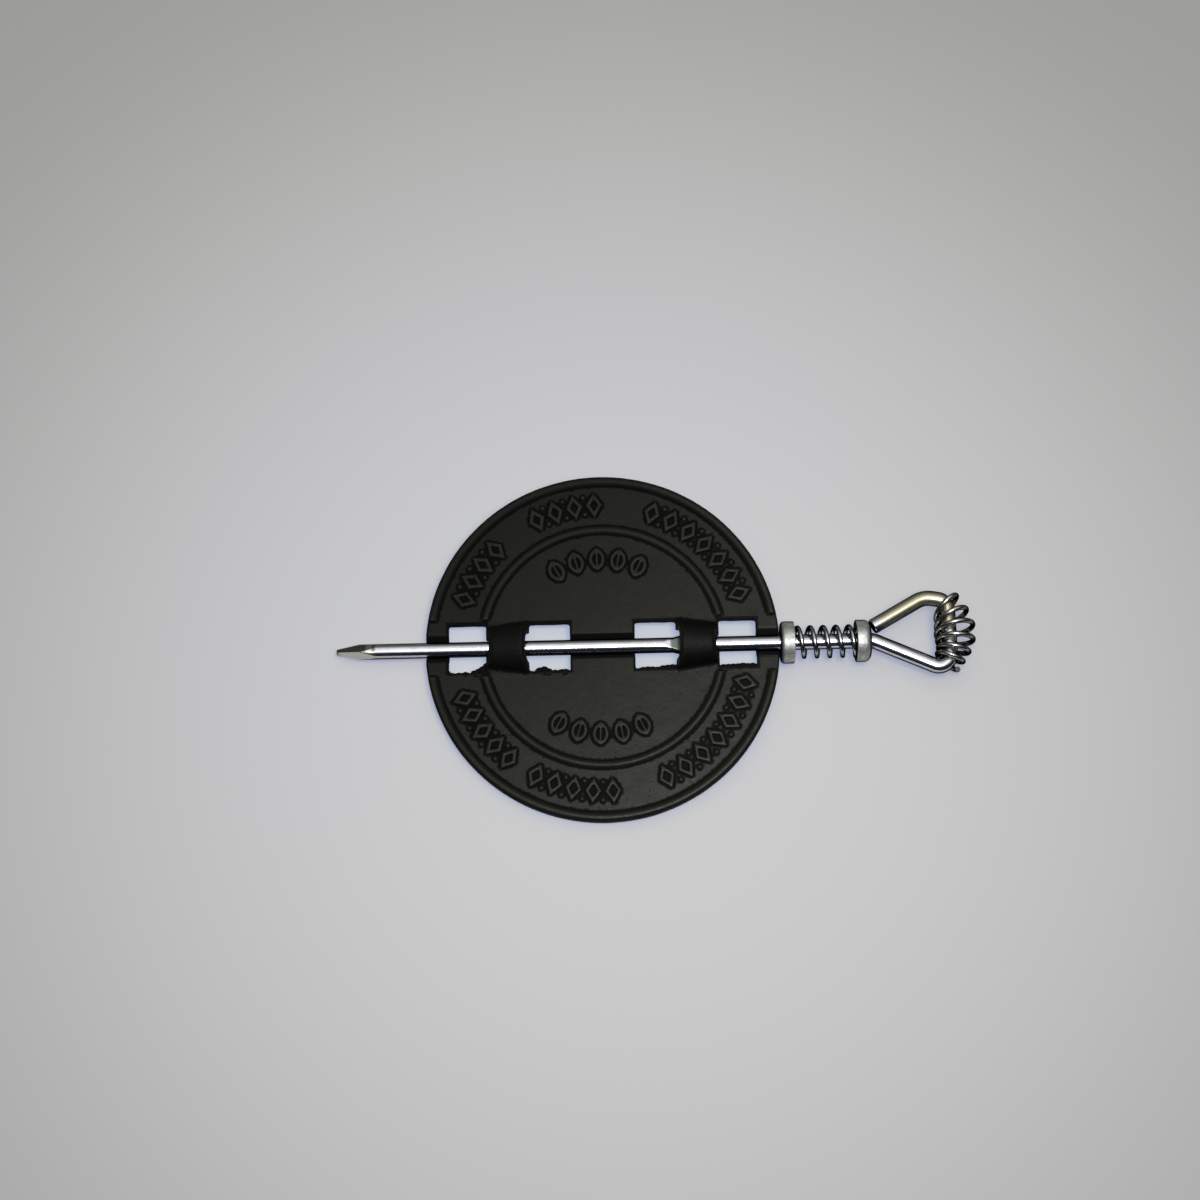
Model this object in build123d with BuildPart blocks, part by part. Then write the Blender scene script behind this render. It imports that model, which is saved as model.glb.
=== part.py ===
from build123d import *
import math
import os

# A stovepipe damper: a cast iron plate that hangs on a handled rod inside a smoke pipe.
# The rod lies along X, with its handle at +X and its ground point at -X. The origin is the
# centre of the plate, on the rod's axis, and the plate's two straps rise towards +Z.
# All sizes are in millimetres and all angles in degrees.

# The plate, with a raised rim on both faces and a ring on the upper one
plate_diameter = 146.0
plate_thickness = 4.0
rim_height = 1.3
rim_width = 3.8
ring_middle_radius = 49.8
ring_width = 3.3
ring_height = 1.0
bead_gap_half_width = 12.0

# The raised ornament on the upper face: lozenges along the outer band, leaves inside the ring.
# Each run is its first angle, its last angle and how many motifs it has.
ornament_height = 0.8
ornament_stroke = 1.4
lozenge_height = 10.6
lozenge_width = 6.8
band_radius = 60.6
band_runs = (
    (136.2, 159.8, 4),
    (92.2, 115.8, 4),
    (20.2, 68.8, 7),
    (200.2, 229.8, 5),
    (242.2, 272.8, 5),
    (294.2, 343.8, 7),
)
leaf_height = 9.6
leaf_width = 6.6
leaf_rib_width = 0.9
row_radius = 37.0
row_runs = ((65.1, 119.9, 5), (240.1, 294.9, 5))

# The plate's windows, with a web in the middle and a strap between each pair
web_half_length = 13.4
inner_window_length = 16.9
strap_length = 17.7
outer_window_length = 15.5
window_half_width = 10.2
window_corner_radius = 1.0

# The straps that arch over the rod, wide towards the middle of the plate
strap_wide_radius = 10.9
strap_narrow_radius = 8.3
strap_end_lean = 2.8
strap_edge_radius = 0.7
tunnel_mouth_radius = 6.8
tunnel_narrow_half_width = 3.8

# The saddles under the web and the rim, with the troughs that the rod lies in
saddle_wall = 2.6
saddle_play = 0.3
web_trough_half_width = 5.2
rim_trough_half_width = 6.0

# The rod and its ground point
rod_diameter = 6.35
rod_reach = 109.8
point_length = 16.0
point_end_width = 1.7
point_roll = 57.0

# The key that is pressed out of the rod, and its notch in the strap
key_width = 9.0
key_thickness = 3.6
key_edge_thickness = 5.2
key_length = 6.3
key_taper_length = 8.5
key_flare_length = 4.7
key_turning_play = 0.6
key_seat_gap = 0.3
notch_depth = 3.0
notch_play = 0.25

# The two drawn cups
cup_diameter = 17.5
cup_wall = 0.9
pipe_cup_depth = 5.6
handle_cup_depth = 6.2
pipe_cup_corner = 1.6
handle_cup_corner = 3.0
cup_bore_play = 0.08
cup_seat_gap = 0.3

# The tension spring between the cups
spring_wire = 2.0
spring_diameter = 14.0
spring_length = 34.6
spring_pitch = 5.3
spring_end_pitch = 2.6
spring_end_turns = 1.0
spring_blend_turns = 0.5
spring_seat_gap = 0.45
spring_phase = 177.0

# The handle loop, which is the rod bent round to a cut end behind the handle cup
neck_length = 1.0
neck_bend_radius = 6.35
lower_arm_angle = 24.0
upper_arm_angle = 29.3
bar_reach = 31.6
bar_bend_radius = 5.0
shoulder_height = 16.3
shoulder_bend_radius = 4.6
crown_height = 17.95
crown_inset = 9.7
crown_bend_radius = 10.0
cut_end_inset = 31.4

# The grip coil, a barrel of thinner wire that is bowed out round the bar of the loop
grip_wire = 2.2
grip_turns = 6.23
grip_phase = 9.7
grip_low_diameter = 12.6
grip_top_diameter = 13.1
grip_middle_diameter = 17.5
grip_span = 25.5
grip_middle_height = 2.73
grip_bow = 4.1
grip_end_inset = 1.6
grip_spread = 0.29
grip_tilt = 5.6
grip_top_tilt = 29.2

# Places and sizes that follow from the ones above
plate_radius = plate_diameter / 2
plate_top = plate_thickness / 2
rod_radius = rod_diameter / 2
strap_start = web_half_length + inner_window_length
strap_end = strap_start + strap_length
rim_start = strap_end + outer_window_length
trough_radius = rod_radius + saddle_play
saddle_radius = trough_radius + saddle_wall
tunnel_seat_radius = key_width / 2 + key_turning_play
tunnel_narrow_height = key_width / 2 + key_turning_play / 2
narrowing = tunnel_mouth_radius - tunnel_narrow_half_width
notch_start = strap_start + strap_length * (tunnel_mouth_radius - tunnel_seat_radius) / narrowing
key_end = notch_start - key_seat_gap
key_start = key_end - key_length
swage_start = key_start - key_taper_length
flare_start = key_start - key_flare_length
cup_radius = cup_diameter / 2
cup_bore_radius = rod_radius + cup_bore_play
pipe_cup_back = plate_radius + cup_seat_gap
spring_start = pipe_cup_back + cup_wall + spring_seat_gap
handle_cup_back = spring_start + spring_length + spring_seat_gap + cup_wall
neck_corner = handle_cup_back + neck_length
bar_offset = neck_corner + bar_reach
past_all = plate_thickness + strap_wide_radius + saddle_radius


def arch(radius, leg=0.0):
    """Draws a half disc over the rod's axis, on two legs that reach down by leg, in the current line."""
    CenterArc((0, 0), radius, 0, 180)
    if leg:
        Polyline((-radius, 0), (-radius, -leg), (radius, -leg), (radius, 0))
    else:
        Line((-radius, 0), (radius, 0))


def trough(half_width):
    """Draws a trough, round under the rod and half_width to each side at the plate's face."""
    CenterArc((0, 0), trough_radius, 180, 180)
    Polyline(
        (trough_radius, 0),
        (half_width, plate_top),
        (half_width, past_all),
        (-half_width, past_all),
        (-half_width, plate_top),
        (-trough_radius, 0),
    )


def half_cup(back, mouth, corner):
    """Draws half the section of a drawn cup, from its closed end at back to its open end at mouth."""
    floor = back + math.copysign(cup_wall, mouth - back)
    inner_radius = cup_radius - cup_wall
    outside = FilletPolyline((back, cup_bore_radius), (back, cup_radius), (mouth, cup_radius), radius=corner)
    inside = FilletPolyline(
        (mouth, inner_radius), (floor, inner_radius), (floor, cup_bore_radius), radius=corner - cup_wall
    )
    Line(outside @ 1, inside @ 0)
    Line(inside @ 1, outside @ 0)


def biarc(start, start_way, end, end_way):
    """Two arcs that leave start along start_way, meet smoothly and reach end along end_way."""
    span = end - start
    square = 2 * (start_way.dot(end_way) - 1)
    linear = -2 * span.dot(start_way + end_way)
    constant = span.dot(span)
    reach = (-linear - math.sqrt(linear**2 - 4 * square * constant)) / (2 * square)
    near = start + start_way * reach
    far = end - end_way * reach
    meeting = (near + far) * 0.5
    return [
        Edge.make_tangent_arc(start, start_way, meeting),
        Edge.make_tangent_arc(meeting, far - near, end),
    ]


def wound_line(place, turns, straight):
    """A coil's line through place(turn), on biarcs of a quarter turn, with a straight run at each end."""
    quarters = math.ceil(turns * 4)
    stops = [turns * quarter / quarters for quarter in range(quarters + 1)]
    points = [place(stop) for stop in stops]
    ways = [(place(stop + 1e-5) - place(stop - 1e-5)).normalized() for stop in stops]
    edges = [Edge.make_line(points[0] - ways[0] * straight, points[0])]
    for quarter in range(quarters):
        edges += biarc(points[quarter], ways[quarter], points[quarter + 1], ways[quarter + 1])
    edges.append(Edge.make_line(points[-1], points[-1] + ways[-1] * straight))
    return Wire(edges)


def least_gap(place, turns, wire):
    """The least clear distance between a coil's turns, measured on points half a turn or more apart."""
    per_turn = 48
    count = math.ceil(turns * per_turn)
    points = [place(turns * step / count) for step in range(count + 1)]
    pairs = [
        (points[low] - points[high]).length
        for low in range(count + 1)
        for high in range(low + per_turn // 2, min(low + 2 * per_turn, count + 1))
    ]
    return min(pairs) - wire


# Beads: a rim on both faces and a ring on the upper one, open where the rod crosses them
rim_foot = plate_radius - rim_width
rim_crest = plate_radius - rim_width / 2
rim_top = plate_top + rim_height
rim_shoulder = plate_top + rim_height / 3
ring_foot = ring_middle_radius - ring_width / 2
ring_far_foot = ring_middle_radius + ring_width / 2
ring_top = plate_top + ring_height
with BuildPart() as beads:
    with BuildSketch(Plane.XZ):
        with BuildLine():
            ThreePointArc((rim_foot, plate_top), (rim_crest, rim_top), (plate_radius, rim_shoulder))
            Line((plate_radius, rim_shoulder), (plate_radius, -rim_shoulder))
            ThreePointArc((plate_radius, -rim_shoulder), (rim_crest, -rim_top), (rim_foot, -plate_top))
            Line((rim_foot, -plate_top), (rim_foot, plate_top))
        make_face()
    revolve(axis=Axis.Z)
    with BuildSketch(Plane.XZ):
        with BuildLine():
            ThreePointArc((ring_foot, plate_top), (ring_middle_radius, ring_top), (ring_far_foot, plate_top))
            Polyline((ring_far_foot, plate_top), (ring_far_foot, 0), (ring_foot, 0), (ring_foot, plate_top))
        make_face()
    revolve(axis=Axis.Z)
    Box(plate_diameter * 2, bead_gap_half_width * 2, past_all, mode=Mode.SUBTRACT)

# Ornament: open lozenges and leaves with a rib, which stand on the plate's middle plane
with BuildSketch() as lozenge:
    lozenge_tip = lozenge_height / 2
    lozenge_side = lozenge_width / 2
    with BuildLine():
        Polyline((lozenge_tip, 0), (0, lozenge_side), (-lozenge_tip, 0), (0, -lozenge_side), close=True)
    make_face()
    offset(amount=-ornament_stroke, kind=Kind.INTERSECTION, mode=Mode.SUBTRACT)

with BuildSketch() as leaf:
    leaf_tip = leaf_height / 2
    with BuildLine():
        ThreePointArc((-leaf_tip, 0), (0, leaf_width / 2), (leaf_tip, 0))
        ThreePointArc((leaf_tip, 0), (0, -leaf_width / 2), (-leaf_tip, 0))
    make_face()
    offset(amount=-ornament_stroke, kind=Kind.INTERSECTION, mode=Mode.SUBTRACT)
    Rectangle(leaf_height - ornament_stroke, leaf_rib_width)

with BuildPart() as ornament:
    with BuildSketch():
        for motif, radius, runs in ((lozenge, band_radius, band_runs), (leaf, row_radius, row_runs)):
            for first, last, count in runs:
                with PolarLocations(radius, count, first, last - first, endpoint=True):
                    add(motif.sketch)
    extrude(amount=plate_top + ornament_height)

# Strap: a tapered half tube over the rod, with its crown shorter than its feet at both ends
with BuildPart() as strap:
    for place, radius in ((strap_start, strap_wide_radius), (strap_end, strap_narrow_radius)):
        with BuildSketch(Plane.YZ.offset(place)):
            with BuildLine():
                arch(radius)
            make_face()
    loft(ruled=True)
    for place, radius, side in ((strap_start, strap_wide_radius, -1), (strap_end, strap_narrow_radius, 1)):
        outward = (side * (radius - plate_top), 0, strap_end_lean)
        split(bisect_by=Plane((place, 0, plate_top), x_dir=(0, 1, 0), z_dir=outward), keep=Keep.BOTTOM)
    fillet(strap.edges().filter_by(GeomType.LINE, reverse=True), strap_edge_radius)

# Saddles: half tubes under the rod at the web and at both sides of the rim
with BuildPart() as saddles:
    rim_depth = plate_radius - rim_start
    web_length = web_half_length * 2
    for start, length in ((-plate_radius, rim_depth), (-web_half_length, web_length), (rim_start, rim_depth)):
        with BuildSketch(Plane.YZ.offset(start)):
            Circle(saddle_radius)
        extrude(amount=length)
    split(bisect_by=Plane.XY, keep=Keep.BOTTOM)
    Cylinder(plate_radius, past_all * 2, mode=Mode.INTERSECT)

# Rod way: what is cut out for the rod on the handle's side, from the strap's mouth to the rim
with BuildPart() as rod_way:
    for place, radius in ((strap_start, tunnel_mouth_radius), (notch_start, tunnel_seat_radius)):
        with BuildSketch(Plane.YZ.offset(place)):
            with BuildLine():
                arch(radius, leg=past_all)
            make_face()
    loft(ruled=True)
    with BuildSketch(Plane.YZ.offset(notch_start)):
        Ellipse(tunnel_narrow_half_width, tunnel_narrow_height)
        with Locations((0, -past_all / 2)):
            Rectangle(tunnel_narrow_half_width * 2, past_all)
    extrude(amount=strap_end - notch_start)
    with BuildSketch(Plane.YZ.offset(notch_start)):
        notch_roof = key_thickness / 2 + notch_play
        with Locations((0, (notch_roof - past_all) / 2)):
            Rectangle(key_width + notch_play * 2, past_all + notch_roof)
    extrude(amount=notch_depth)
    with BuildSketch(Plane.YZ.offset(rim_start)):
        with BuildLine():
            trough(rim_trough_half_width)
        make_face()
    extrude(amount=plate_radius)

with BuildPart() as damper_plate:
    Cylinder(plate_radius, plate_thickness)
    add(beads.part)
    add(ornament.part)
    add(saddles.part)
    add(strap.part)
    add(mirror(strap.part, about=Plane.YZ))
    with BuildSketch():
        for side in (-1, 1):
            for start, length in ((web_half_length, inner_window_length), (strap_end, outer_window_length)):
                with Locations((side * (start + length / 2), 0)):
                    RectangleRounded(length, window_half_width * 2, window_corner_radius)
    extrude(amount=past_all, both=True, mode=Mode.SUBTRACT)
    add(rod_way.part, mode=Mode.SUBTRACT)
    add(mirror(rod_way.part, about=Plane.YZ), mode=Mode.SUBTRACT)
    with BuildSketch(Plane.YZ):
        with BuildLine():
            trough(web_trough_half_width)
        make_face()
    extrude(amount=web_half_length, both=True, mode=Mode.SUBTRACT)

# Point: the rod's far end, ground to four flats
with BuildPart() as point:
    for place, width in ((-rod_reach, point_end_width), (point_length - rod_reach, rod_diameter)):
        with BuildSketch(Plane.YZ.offset(place)):
            Rectangle(width, width, rotation=point_roll)
    loft(ruled=True)
    with BuildSketch(Plane.YZ.offset(-rod_reach)):
        Circle(rod_radius)
    extrude(amount=point_length, mode=Mode.INTERSECT)

# Rod: the point, the straight shaft with its pressed key, and the handle loop
with BuildPart() as handle_rod:
    add(point.part)
    with BuildSketch(Plane.YZ.offset(point_length - rod_reach)):
        Circle(rod_radius)
    extrude(amount=rod_reach - point_length + flare_start)
    with BuildSketch(Plane.YZ.offset(flare_start)):
        Circle(rod_radius)
    with BuildSketch(Plane.YZ.offset(key_start)):
        Ellipse(key_width / 2, key_edge_thickness / 2)
    loft(ruled=True)
    with BuildSketch(Plane.YZ.offset(key_start)):
        Ellipse(key_width / 2, key_edge_thickness / 2)
    extrude(amount=key_length)
    with BuildSketch(Plane.XZ):
        with BuildLine():
            Polyline(
                (swage_start, rod_radius),
                (key_start, key_thickness / 2),
                (key_end, key_thickness / 2),
                (key_end, rod_diameter),
                (swage_start, rod_diameter),
                close=True,
            )
        make_face()
        mirror(about=Plane.XZ)
    extrude(amount=key_width, both=True, mode=Mode.SUBTRACT)
    lower_drop = math.tan(math.radians(lower_arm_angle)) * bar_reach
    arm_run = cut_end_inset - crown_inset
    upper_drop = math.tan(math.radians(upper_arm_angle)) * arm_run
    with BuildLine() as loop:
        FilletPolyline(
            (key_end, 0),
            (neck_corner, 0),
            (bar_offset, -lower_drop),
            (bar_offset, shoulder_height),
            (bar_offset - crown_inset, crown_height),
            (bar_offset - cut_end_inset, crown_height - upper_drop),
            radius=[neck_bend_radius, bar_bend_radius, shoulder_bend_radius, crown_bend_radius],
        )
    with BuildSketch(Plane.YZ.offset(key_end)):
        Circle(rod_radius)
    sweep(path=loop.line)

# Cups: drawn shells with a bore in the closed end
with BuildPart() as pipe_cup:
    with BuildSketch(Plane.XZ):
        with BuildLine():
            half_cup(pipe_cup_back, pipe_cup_back + pipe_cup_depth, pipe_cup_corner)
        make_face()
    revolve(axis=Axis.X)

with BuildPart() as handle_cup:
    with BuildSketch(Plane.XZ):
        with BuildLine():
            half_cup(handle_cup_back, handle_cup_back - handle_cup_depth, handle_cup_corner)
        make_face()
    revolve(axis=Axis.X)

# Tension spring: close end turns that seat in the cups, and open turns between them
spring_coil_radius = (spring_diameter - spring_wire) / 2
spring_rise = spring_length - spring_wire
closed_stretch = spring_end_turns + spring_blend_turns / 2
spring_turns = (spring_rise + 2 * (spring_pitch - spring_end_pitch) * closed_stretch) / spring_pitch


def spring_climb(turn):
    """How far the spring's first half has climbed along the rod after so many turns."""
    opened = max(0.0, turn - spring_end_turns)
    blended = min(opened, spring_blend_turns)
    extra = blended**2 / (2 * spring_blend_turns) + opened - blended
    return spring_end_pitch * turn + (spring_pitch - spring_end_pitch) * extra


def spring_place(turn):
    """The point on the spring's line after so many turns."""
    if turn < spring_turns / 2:
        climb = spring_climb(turn)
    else:
        climb = spring_rise - spring_climb(spring_turns - turn)
    angle = math.radians(spring_phase + 360 * turn)
    across = spring_coil_radius * math.cos(angle)
    up = spring_coil_radius * math.sin(angle)
    return Vector(spring_start + spring_wire / 2 + climb, across, up)


with BuildPart() as tension_spring:
    spring_line = wound_line(spring_place, spring_turns, spring_wire)
    with BuildSketch(Plane(spring_line @ 0, z_dir=spring_line % 0)):
        Circle(spring_wire / 2)
    sweep(path=spring_line)

# Grip coil: its turns fan out on an arc that starts and ends on the loop's bar, and lean more towards the crown
grip_half_span = grip_span / 2
grip_arc_radius = (grip_half_span**2 + grip_bow**2) / (2 * grip_bow)
grip_arc_centre = bar_offset - grip_end_inset + grip_bow - grip_arc_radius
grip_fan = math.degrees(math.asin(grip_half_span / grip_arc_radius))


def grip_place(turn):
    """The point on the grip coil's line after so many turns."""
    share = turn / grip_turns
    fan_share = 2 * share * (1 + grip_spread * (share - 1)) - 1
    lean = math.radians(grip_fan * fan_share)
    swell = math.cos(math.pi / 2 * fan_share) ** 2
    end_diameter = grip_low_diameter + (grip_top_diameter - grip_low_diameter) * share
    diameter = end_diameter + (grip_middle_diameter - end_diameter) * swell
    coil_radius = (diameter - grip_wire) / 2
    angle = math.radians(grip_phase + 360 * turn)
    reach = grip_arc_radius + coil_radius * math.cos(angle)
    up = -coil_radius * math.sin(angle)
    tilt = math.tan(math.radians(grip_tilt * swell + grip_top_tilt * share**2))
    along = grip_arc_centre + reach * math.cos(lean)
    across = grip_middle_height + reach * math.sin(lean) + tilt * up
    return Vector(along, across, up)


with BuildPart() as grip_coil:
    grip_line = wound_line(grip_place, grip_turns, grip_wire)
    with BuildSketch(Plane(grip_line @ 0, z_dir=grip_line % 0)):
        Circle(grip_wire / 2)
    sweep(path=grip_line)

for name, place, turns, wire in (
    ("tension spring", spring_place, spring_turns, spring_wire),
    ("grip coil", grip_place, grip_turns, grip_wire),
):
    print(name, "turns", round(turns, 2), "least gap", round(least_gap(place, turns, wire), 2))

os.makedirs("parts", exist_ok=True)

damper_plate.part.label = "damper_plate"
export_step(damper_plate.part, "parts/damper_plate.step")

handle_rod.part.label = "handle_rod"
export_step(handle_rod.part, "parts/handle_rod.step")

grip_coil.part.label = "grip_coil"
export_step(grip_coil.part, "parts/grip_coil.step")

pipe_cup.part.label = "pipe_cup"
export_step(pipe_cup.part, "parts/pipe_cup.step")

tension_spring.part.label = "tension_spring"
export_step(tension_spring.part, "parts/tension_spring.step")

handle_cup.part.label = "handle_cup"
export_step(handle_cup.part, "parts/handle_cup.step")
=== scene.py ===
"""The looks of a stovepipe damper: an iron plate on a plated rod with a sprung neck and a wire-wound loop.

Lengths are written in millimetres and become metres where a mesh is made. The rod lies along X with its
handle at +X, the plate's straps rise towards +Z, and the origin is the plate's centre on the rod's axis.
"""

import logging
import math
from dataclasses import dataclass, field
from enum import Enum
from typing import Any, Callable, Sequence, Union

import bmesh
import bpy
import numpy as np
from mathutils import Matrix, Vector

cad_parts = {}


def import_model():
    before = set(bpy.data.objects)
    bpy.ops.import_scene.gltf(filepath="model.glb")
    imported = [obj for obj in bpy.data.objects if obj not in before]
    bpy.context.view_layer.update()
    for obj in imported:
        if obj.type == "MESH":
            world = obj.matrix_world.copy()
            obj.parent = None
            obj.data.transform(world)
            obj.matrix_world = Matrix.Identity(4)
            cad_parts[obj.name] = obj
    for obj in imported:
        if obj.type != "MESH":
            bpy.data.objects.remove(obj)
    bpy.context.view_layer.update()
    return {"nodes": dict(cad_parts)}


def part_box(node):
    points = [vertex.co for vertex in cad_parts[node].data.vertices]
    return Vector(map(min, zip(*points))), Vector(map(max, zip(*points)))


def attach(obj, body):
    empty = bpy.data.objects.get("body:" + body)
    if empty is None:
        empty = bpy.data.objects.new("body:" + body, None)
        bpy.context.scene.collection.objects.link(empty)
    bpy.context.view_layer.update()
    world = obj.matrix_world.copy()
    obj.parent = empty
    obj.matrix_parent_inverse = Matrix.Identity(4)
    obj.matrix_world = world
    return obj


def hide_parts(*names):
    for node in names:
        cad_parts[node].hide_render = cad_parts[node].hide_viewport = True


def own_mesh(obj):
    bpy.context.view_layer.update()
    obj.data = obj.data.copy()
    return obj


log = logging.getLogger("damper")

MM = 0.001
TURN = 2 * math.pi

# Sizes that a shape and a finish share, in millimetres and degrees
WINDOW_SPANS = ((13.4, 30.3), (48.0, 63.5))
WINDOW_HALF_WIDTH = 10.2
POINT_LENGTH = 16.0
POINT_ROLL = 57.0

Colour = tuple[float, float, float]
Point = tuple[float, float]
Operand = Union[float, "Value"]


# Node trees


class Value:
    """A number in a node tree. Python's operators on it add the tree's Math nodes."""

    def __init__(self, graph: "Graph", socket: bpy.types.NodeSocket) -> None:
        """Wraps an output socket of a graph's node."""
        self.graph = graph
        self.socket = socket

    def __add__(self, other: Operand) -> "Value":
        """self + other."""
        return self.graph.math("ADD", self, other)

    def __radd__(self, other: Operand) -> "Value":
        """other + self."""
        return self.graph.math("ADD", other, self)

    def __sub__(self, other: Operand) -> "Value":
        """self - other."""
        return self.graph.math("SUBTRACT", self, other)

    def __rsub__(self, other: Operand) -> "Value":
        """other - self."""
        return self.graph.math("SUBTRACT", other, self)

    def __mul__(self, other: Operand) -> "Value":
        """self * other."""
        return self.graph.math("MULTIPLY", self, other)

    def __rmul__(self, other: Operand) -> "Value":
        """other * self."""
        return self.graph.math("MULTIPLY", other, self)

    def __truediv__(self, other: Operand) -> "Value":
        """self / other."""
        return self.graph.math("DIVIDE", self, other)

    def __rtruediv__(self, other: Operand) -> "Value":
        """other / self."""
        return self.graph.math("DIVIDE", other, self)

    def __pow__(self, other: Operand) -> "Value":
        """self ** other."""
        return self.graph.math("POWER", self, other)

    def __abs__(self) -> "Value":
        """The size of the number without its sign."""
        return self.graph.math("ABSOLUTE", self)

    def sine(self) -> "Value":
        """The sine of an angle in radians."""
        return self.graph.math("SINE", self)

    def cosine(self) -> "Value":
        """The cosine of an angle in radians."""
        return self.graph.math("COSINE", self)

    def least(self, other: Operand) -> "Value":
        """The smaller of two numbers."""
        return self.graph.math("MINIMUM", self, other)

    def most(self, other: Operand) -> "Value":
        """The larger of two numbers."""
        return self.graph.math("MAXIMUM", self, other)

    def eased(self, low: Operand, high: Operand) -> "Value":
        """A smooth step.

        Args:
            low: Where the step is still 0.
            high: Where the step has reached 1. It may be less than low.

        Returns:
            The step's height at this number.
        """
        node = self.graph.node(
            "ShaderNodeMapRange",
            {"interpolation_type": "SMOOTHSTEP"},
            {"Value": self, "From Min": low, "From Max": high},
        )
        return Value(self.graph, node.outputs["Result"])

    def peak(self, centre: float, reach: float) -> "Value":
        """A smooth bump of height 1 at centre that has gone at centre plus or minus reach."""
        return abs(self - centre).eased(reach, 0.0)


class Graph:
    """A node tree, for a shader or for geometry, that code fills."""

    def __init__(self, tree: bpy.types.NodeTree) -> None:
        """Starts from an empty tree."""
        self.tree = tree
        tree.nodes.clear()

    def node(
        self, kind: str, settings: dict[str, Any] | None = None, inputs: dict[Any, Any] | None = None
    ) -> bpy.types.Node:
        """Adds a node.

        Args:
            kind: The node's type.
            settings: Its properties, which are set first.
            inputs: What its sockets are given, as give takes it.

        Returns:
            The new node.
        """
        node = self.tree.nodes.new(kind)
        for name, setting in (settings or {}).items():
            setattr(node, name, setting)
        self.give(node, inputs or {})
        return node

    def give(self, node: bpy.types.Node, inputs: dict[Any, Any]) -> None:
        """Sets or links a node's sockets.

        Args:
            node: The node.
            inputs: What each socket, by its name or its place, is given: a constant, a Value or a socket.
        """
        for name, given in inputs.items():
            source = given.socket if isinstance(given, Value) else given
            if isinstance(source, bpy.types.NodeSocket):
                self.tree.links.new(source, node.inputs[name])
            else:
                node.inputs[name].default_value = source

    def math(self, operation: str, *operands: Operand) -> Value:
        """Adds a Math node.

        Args:
            operation: The node's operation.
            operands: Its one or two numbers.

        Returns:
            The node's result.
        """
        node = self.node("ShaderNodeMath", {"operation": operation}, dict(enumerate(operands)))
        return Value(self, node.outputs[0])

    def vector(self, x: Operand, y: Operand, z: Operand) -> bpy.types.NodeSocket:
        """A vector made of three numbers."""
        return self.node("ShaderNodeCombineXYZ", None, {"X": x, "Y": y, "Z": z}).outputs[0]

    def scaled(self, vector: bpy.types.NodeSocket, factor: Any) -> bpy.types.NodeSocket:
        """Stretches a vector.

        Args:
            vector: What is stretched.
            factor: A number, or another vector, which works one axis at a time.

        Returns:
            The stretched vector.
        """
        if isinstance(factor, (float, Value)):
            operation, inputs = "SCALE", {"Vector": vector, "Scale": factor}
        else:
            operation, inputs = "MULTIPLY", {0: vector, 1: factor}
        return self.node("ShaderNodeVectorMath", {"operation": operation}, inputs).outputs["Vector"]

    def split(self, vector: bpy.types.NodeSocket) -> tuple[Value, Value, Value]:
        """A vector's three numbers."""
        node = self.node("ShaderNodeSeparateXYZ", None, {"Vector": vector})
        return tuple(Value(self, socket) for socket in node.outputs)

    def noise(
        self, vector: bpy.types.NodeSocket, size: float, detail: float = 2.0, rough: float = 0.5
    ) -> Value:
        """Smooth noise about 0.5.

        Args:
            vector: Where the noise is read, in millimetres.
            size: The width of its largest lumps, in millimetres.
            detail: How many finer layers it has.
            rough: How strong the finer layers are.

        Returns:
            The noise.
        """
        inputs = {"Vector": vector, "Scale": 1 / size, "Detail": detail, "Roughness": rough}
        return Value(self, self.node("ShaderNodeTexNoise", None, inputs).outputs["Fac"])

    def cells(self, vector: bpy.types.NodeSocket, size: float) -> Value:
        """The distance to the nearest of many scattered points that lie about size millimetres apart."""
        inputs = {"Vector": vector, "Scale": 1 / size}
        return Value(self, self.node("ShaderNodeTexVoronoi", None, inputs).outputs["Distance"])

    def blend(self, share: Operand, first: Any, second: Any) -> bpy.types.NodeSocket:
        """Mixes two colours.

        Args:
            share: How much of the second colour there is, from 0 to 1.
            first: The first colour, a constant or a socket.
            second: The second colour.

        Returns:
            The mixed colour.
        """
        first = (*first, 1.0) if isinstance(first, tuple) else first
        second = (*second, 1.0) if isinstance(second, tuple) else second
        node = self.node("ShaderNodeMix", {"data_type": "RGBA"}, {0: share, 6: first, 7: second})
        return node.outputs[2]


def away(across: Value, up: Value) -> Value:
    """How far a place is from the middle, by its two distances."""
    return (across * across + up * up) ** 0.5


class Shader(Graph):
    """The node tree of one material, with its Principled shader."""

    def __init__(self, material: bpy.types.Material) -> None:
        """Starts afresh with a Principled shader.

        Args:
            material: The material that the tree belongs to.
        """
        material.use_nodes = True
        super().__init__(material.node_tree)
        self.surface = self.node("ShaderNodeBsdfPrincipled")
        output = self.node("ShaderNodeOutputMaterial", None, {"Surface": self.surface.outputs[0]})
        output.is_active_output = True
        place = self.node("ShaderNodeTexCoord").outputs["Object"]
        self.place = self.scaled(place, 1 / MM)

    def carried(self, name: str) -> bpy.types.Node:
        """The node that reads what the mesh carries under a name at its points."""
        return self.node("ShaderNodeAttribute", {"attribute_name": name})

    def paint(self, **inputs: Any) -> None:
        """Gives the shader's sockets their constants or links, with underscores for the names' spaces."""
        self.give(self.surface, {name.replace("_", " "): given for name, given in inputs.items()})

    def relief(self, height: Value) -> None:
        """Bumps the surface by a height in millimetres."""
        inputs = {"Strength": 1.0, "Distance": MM, "Height": height}
        self.paint(Normal=self.node("ShaderNodeBump", None, inputs).outputs["Normal"])


# Finishes


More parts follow.
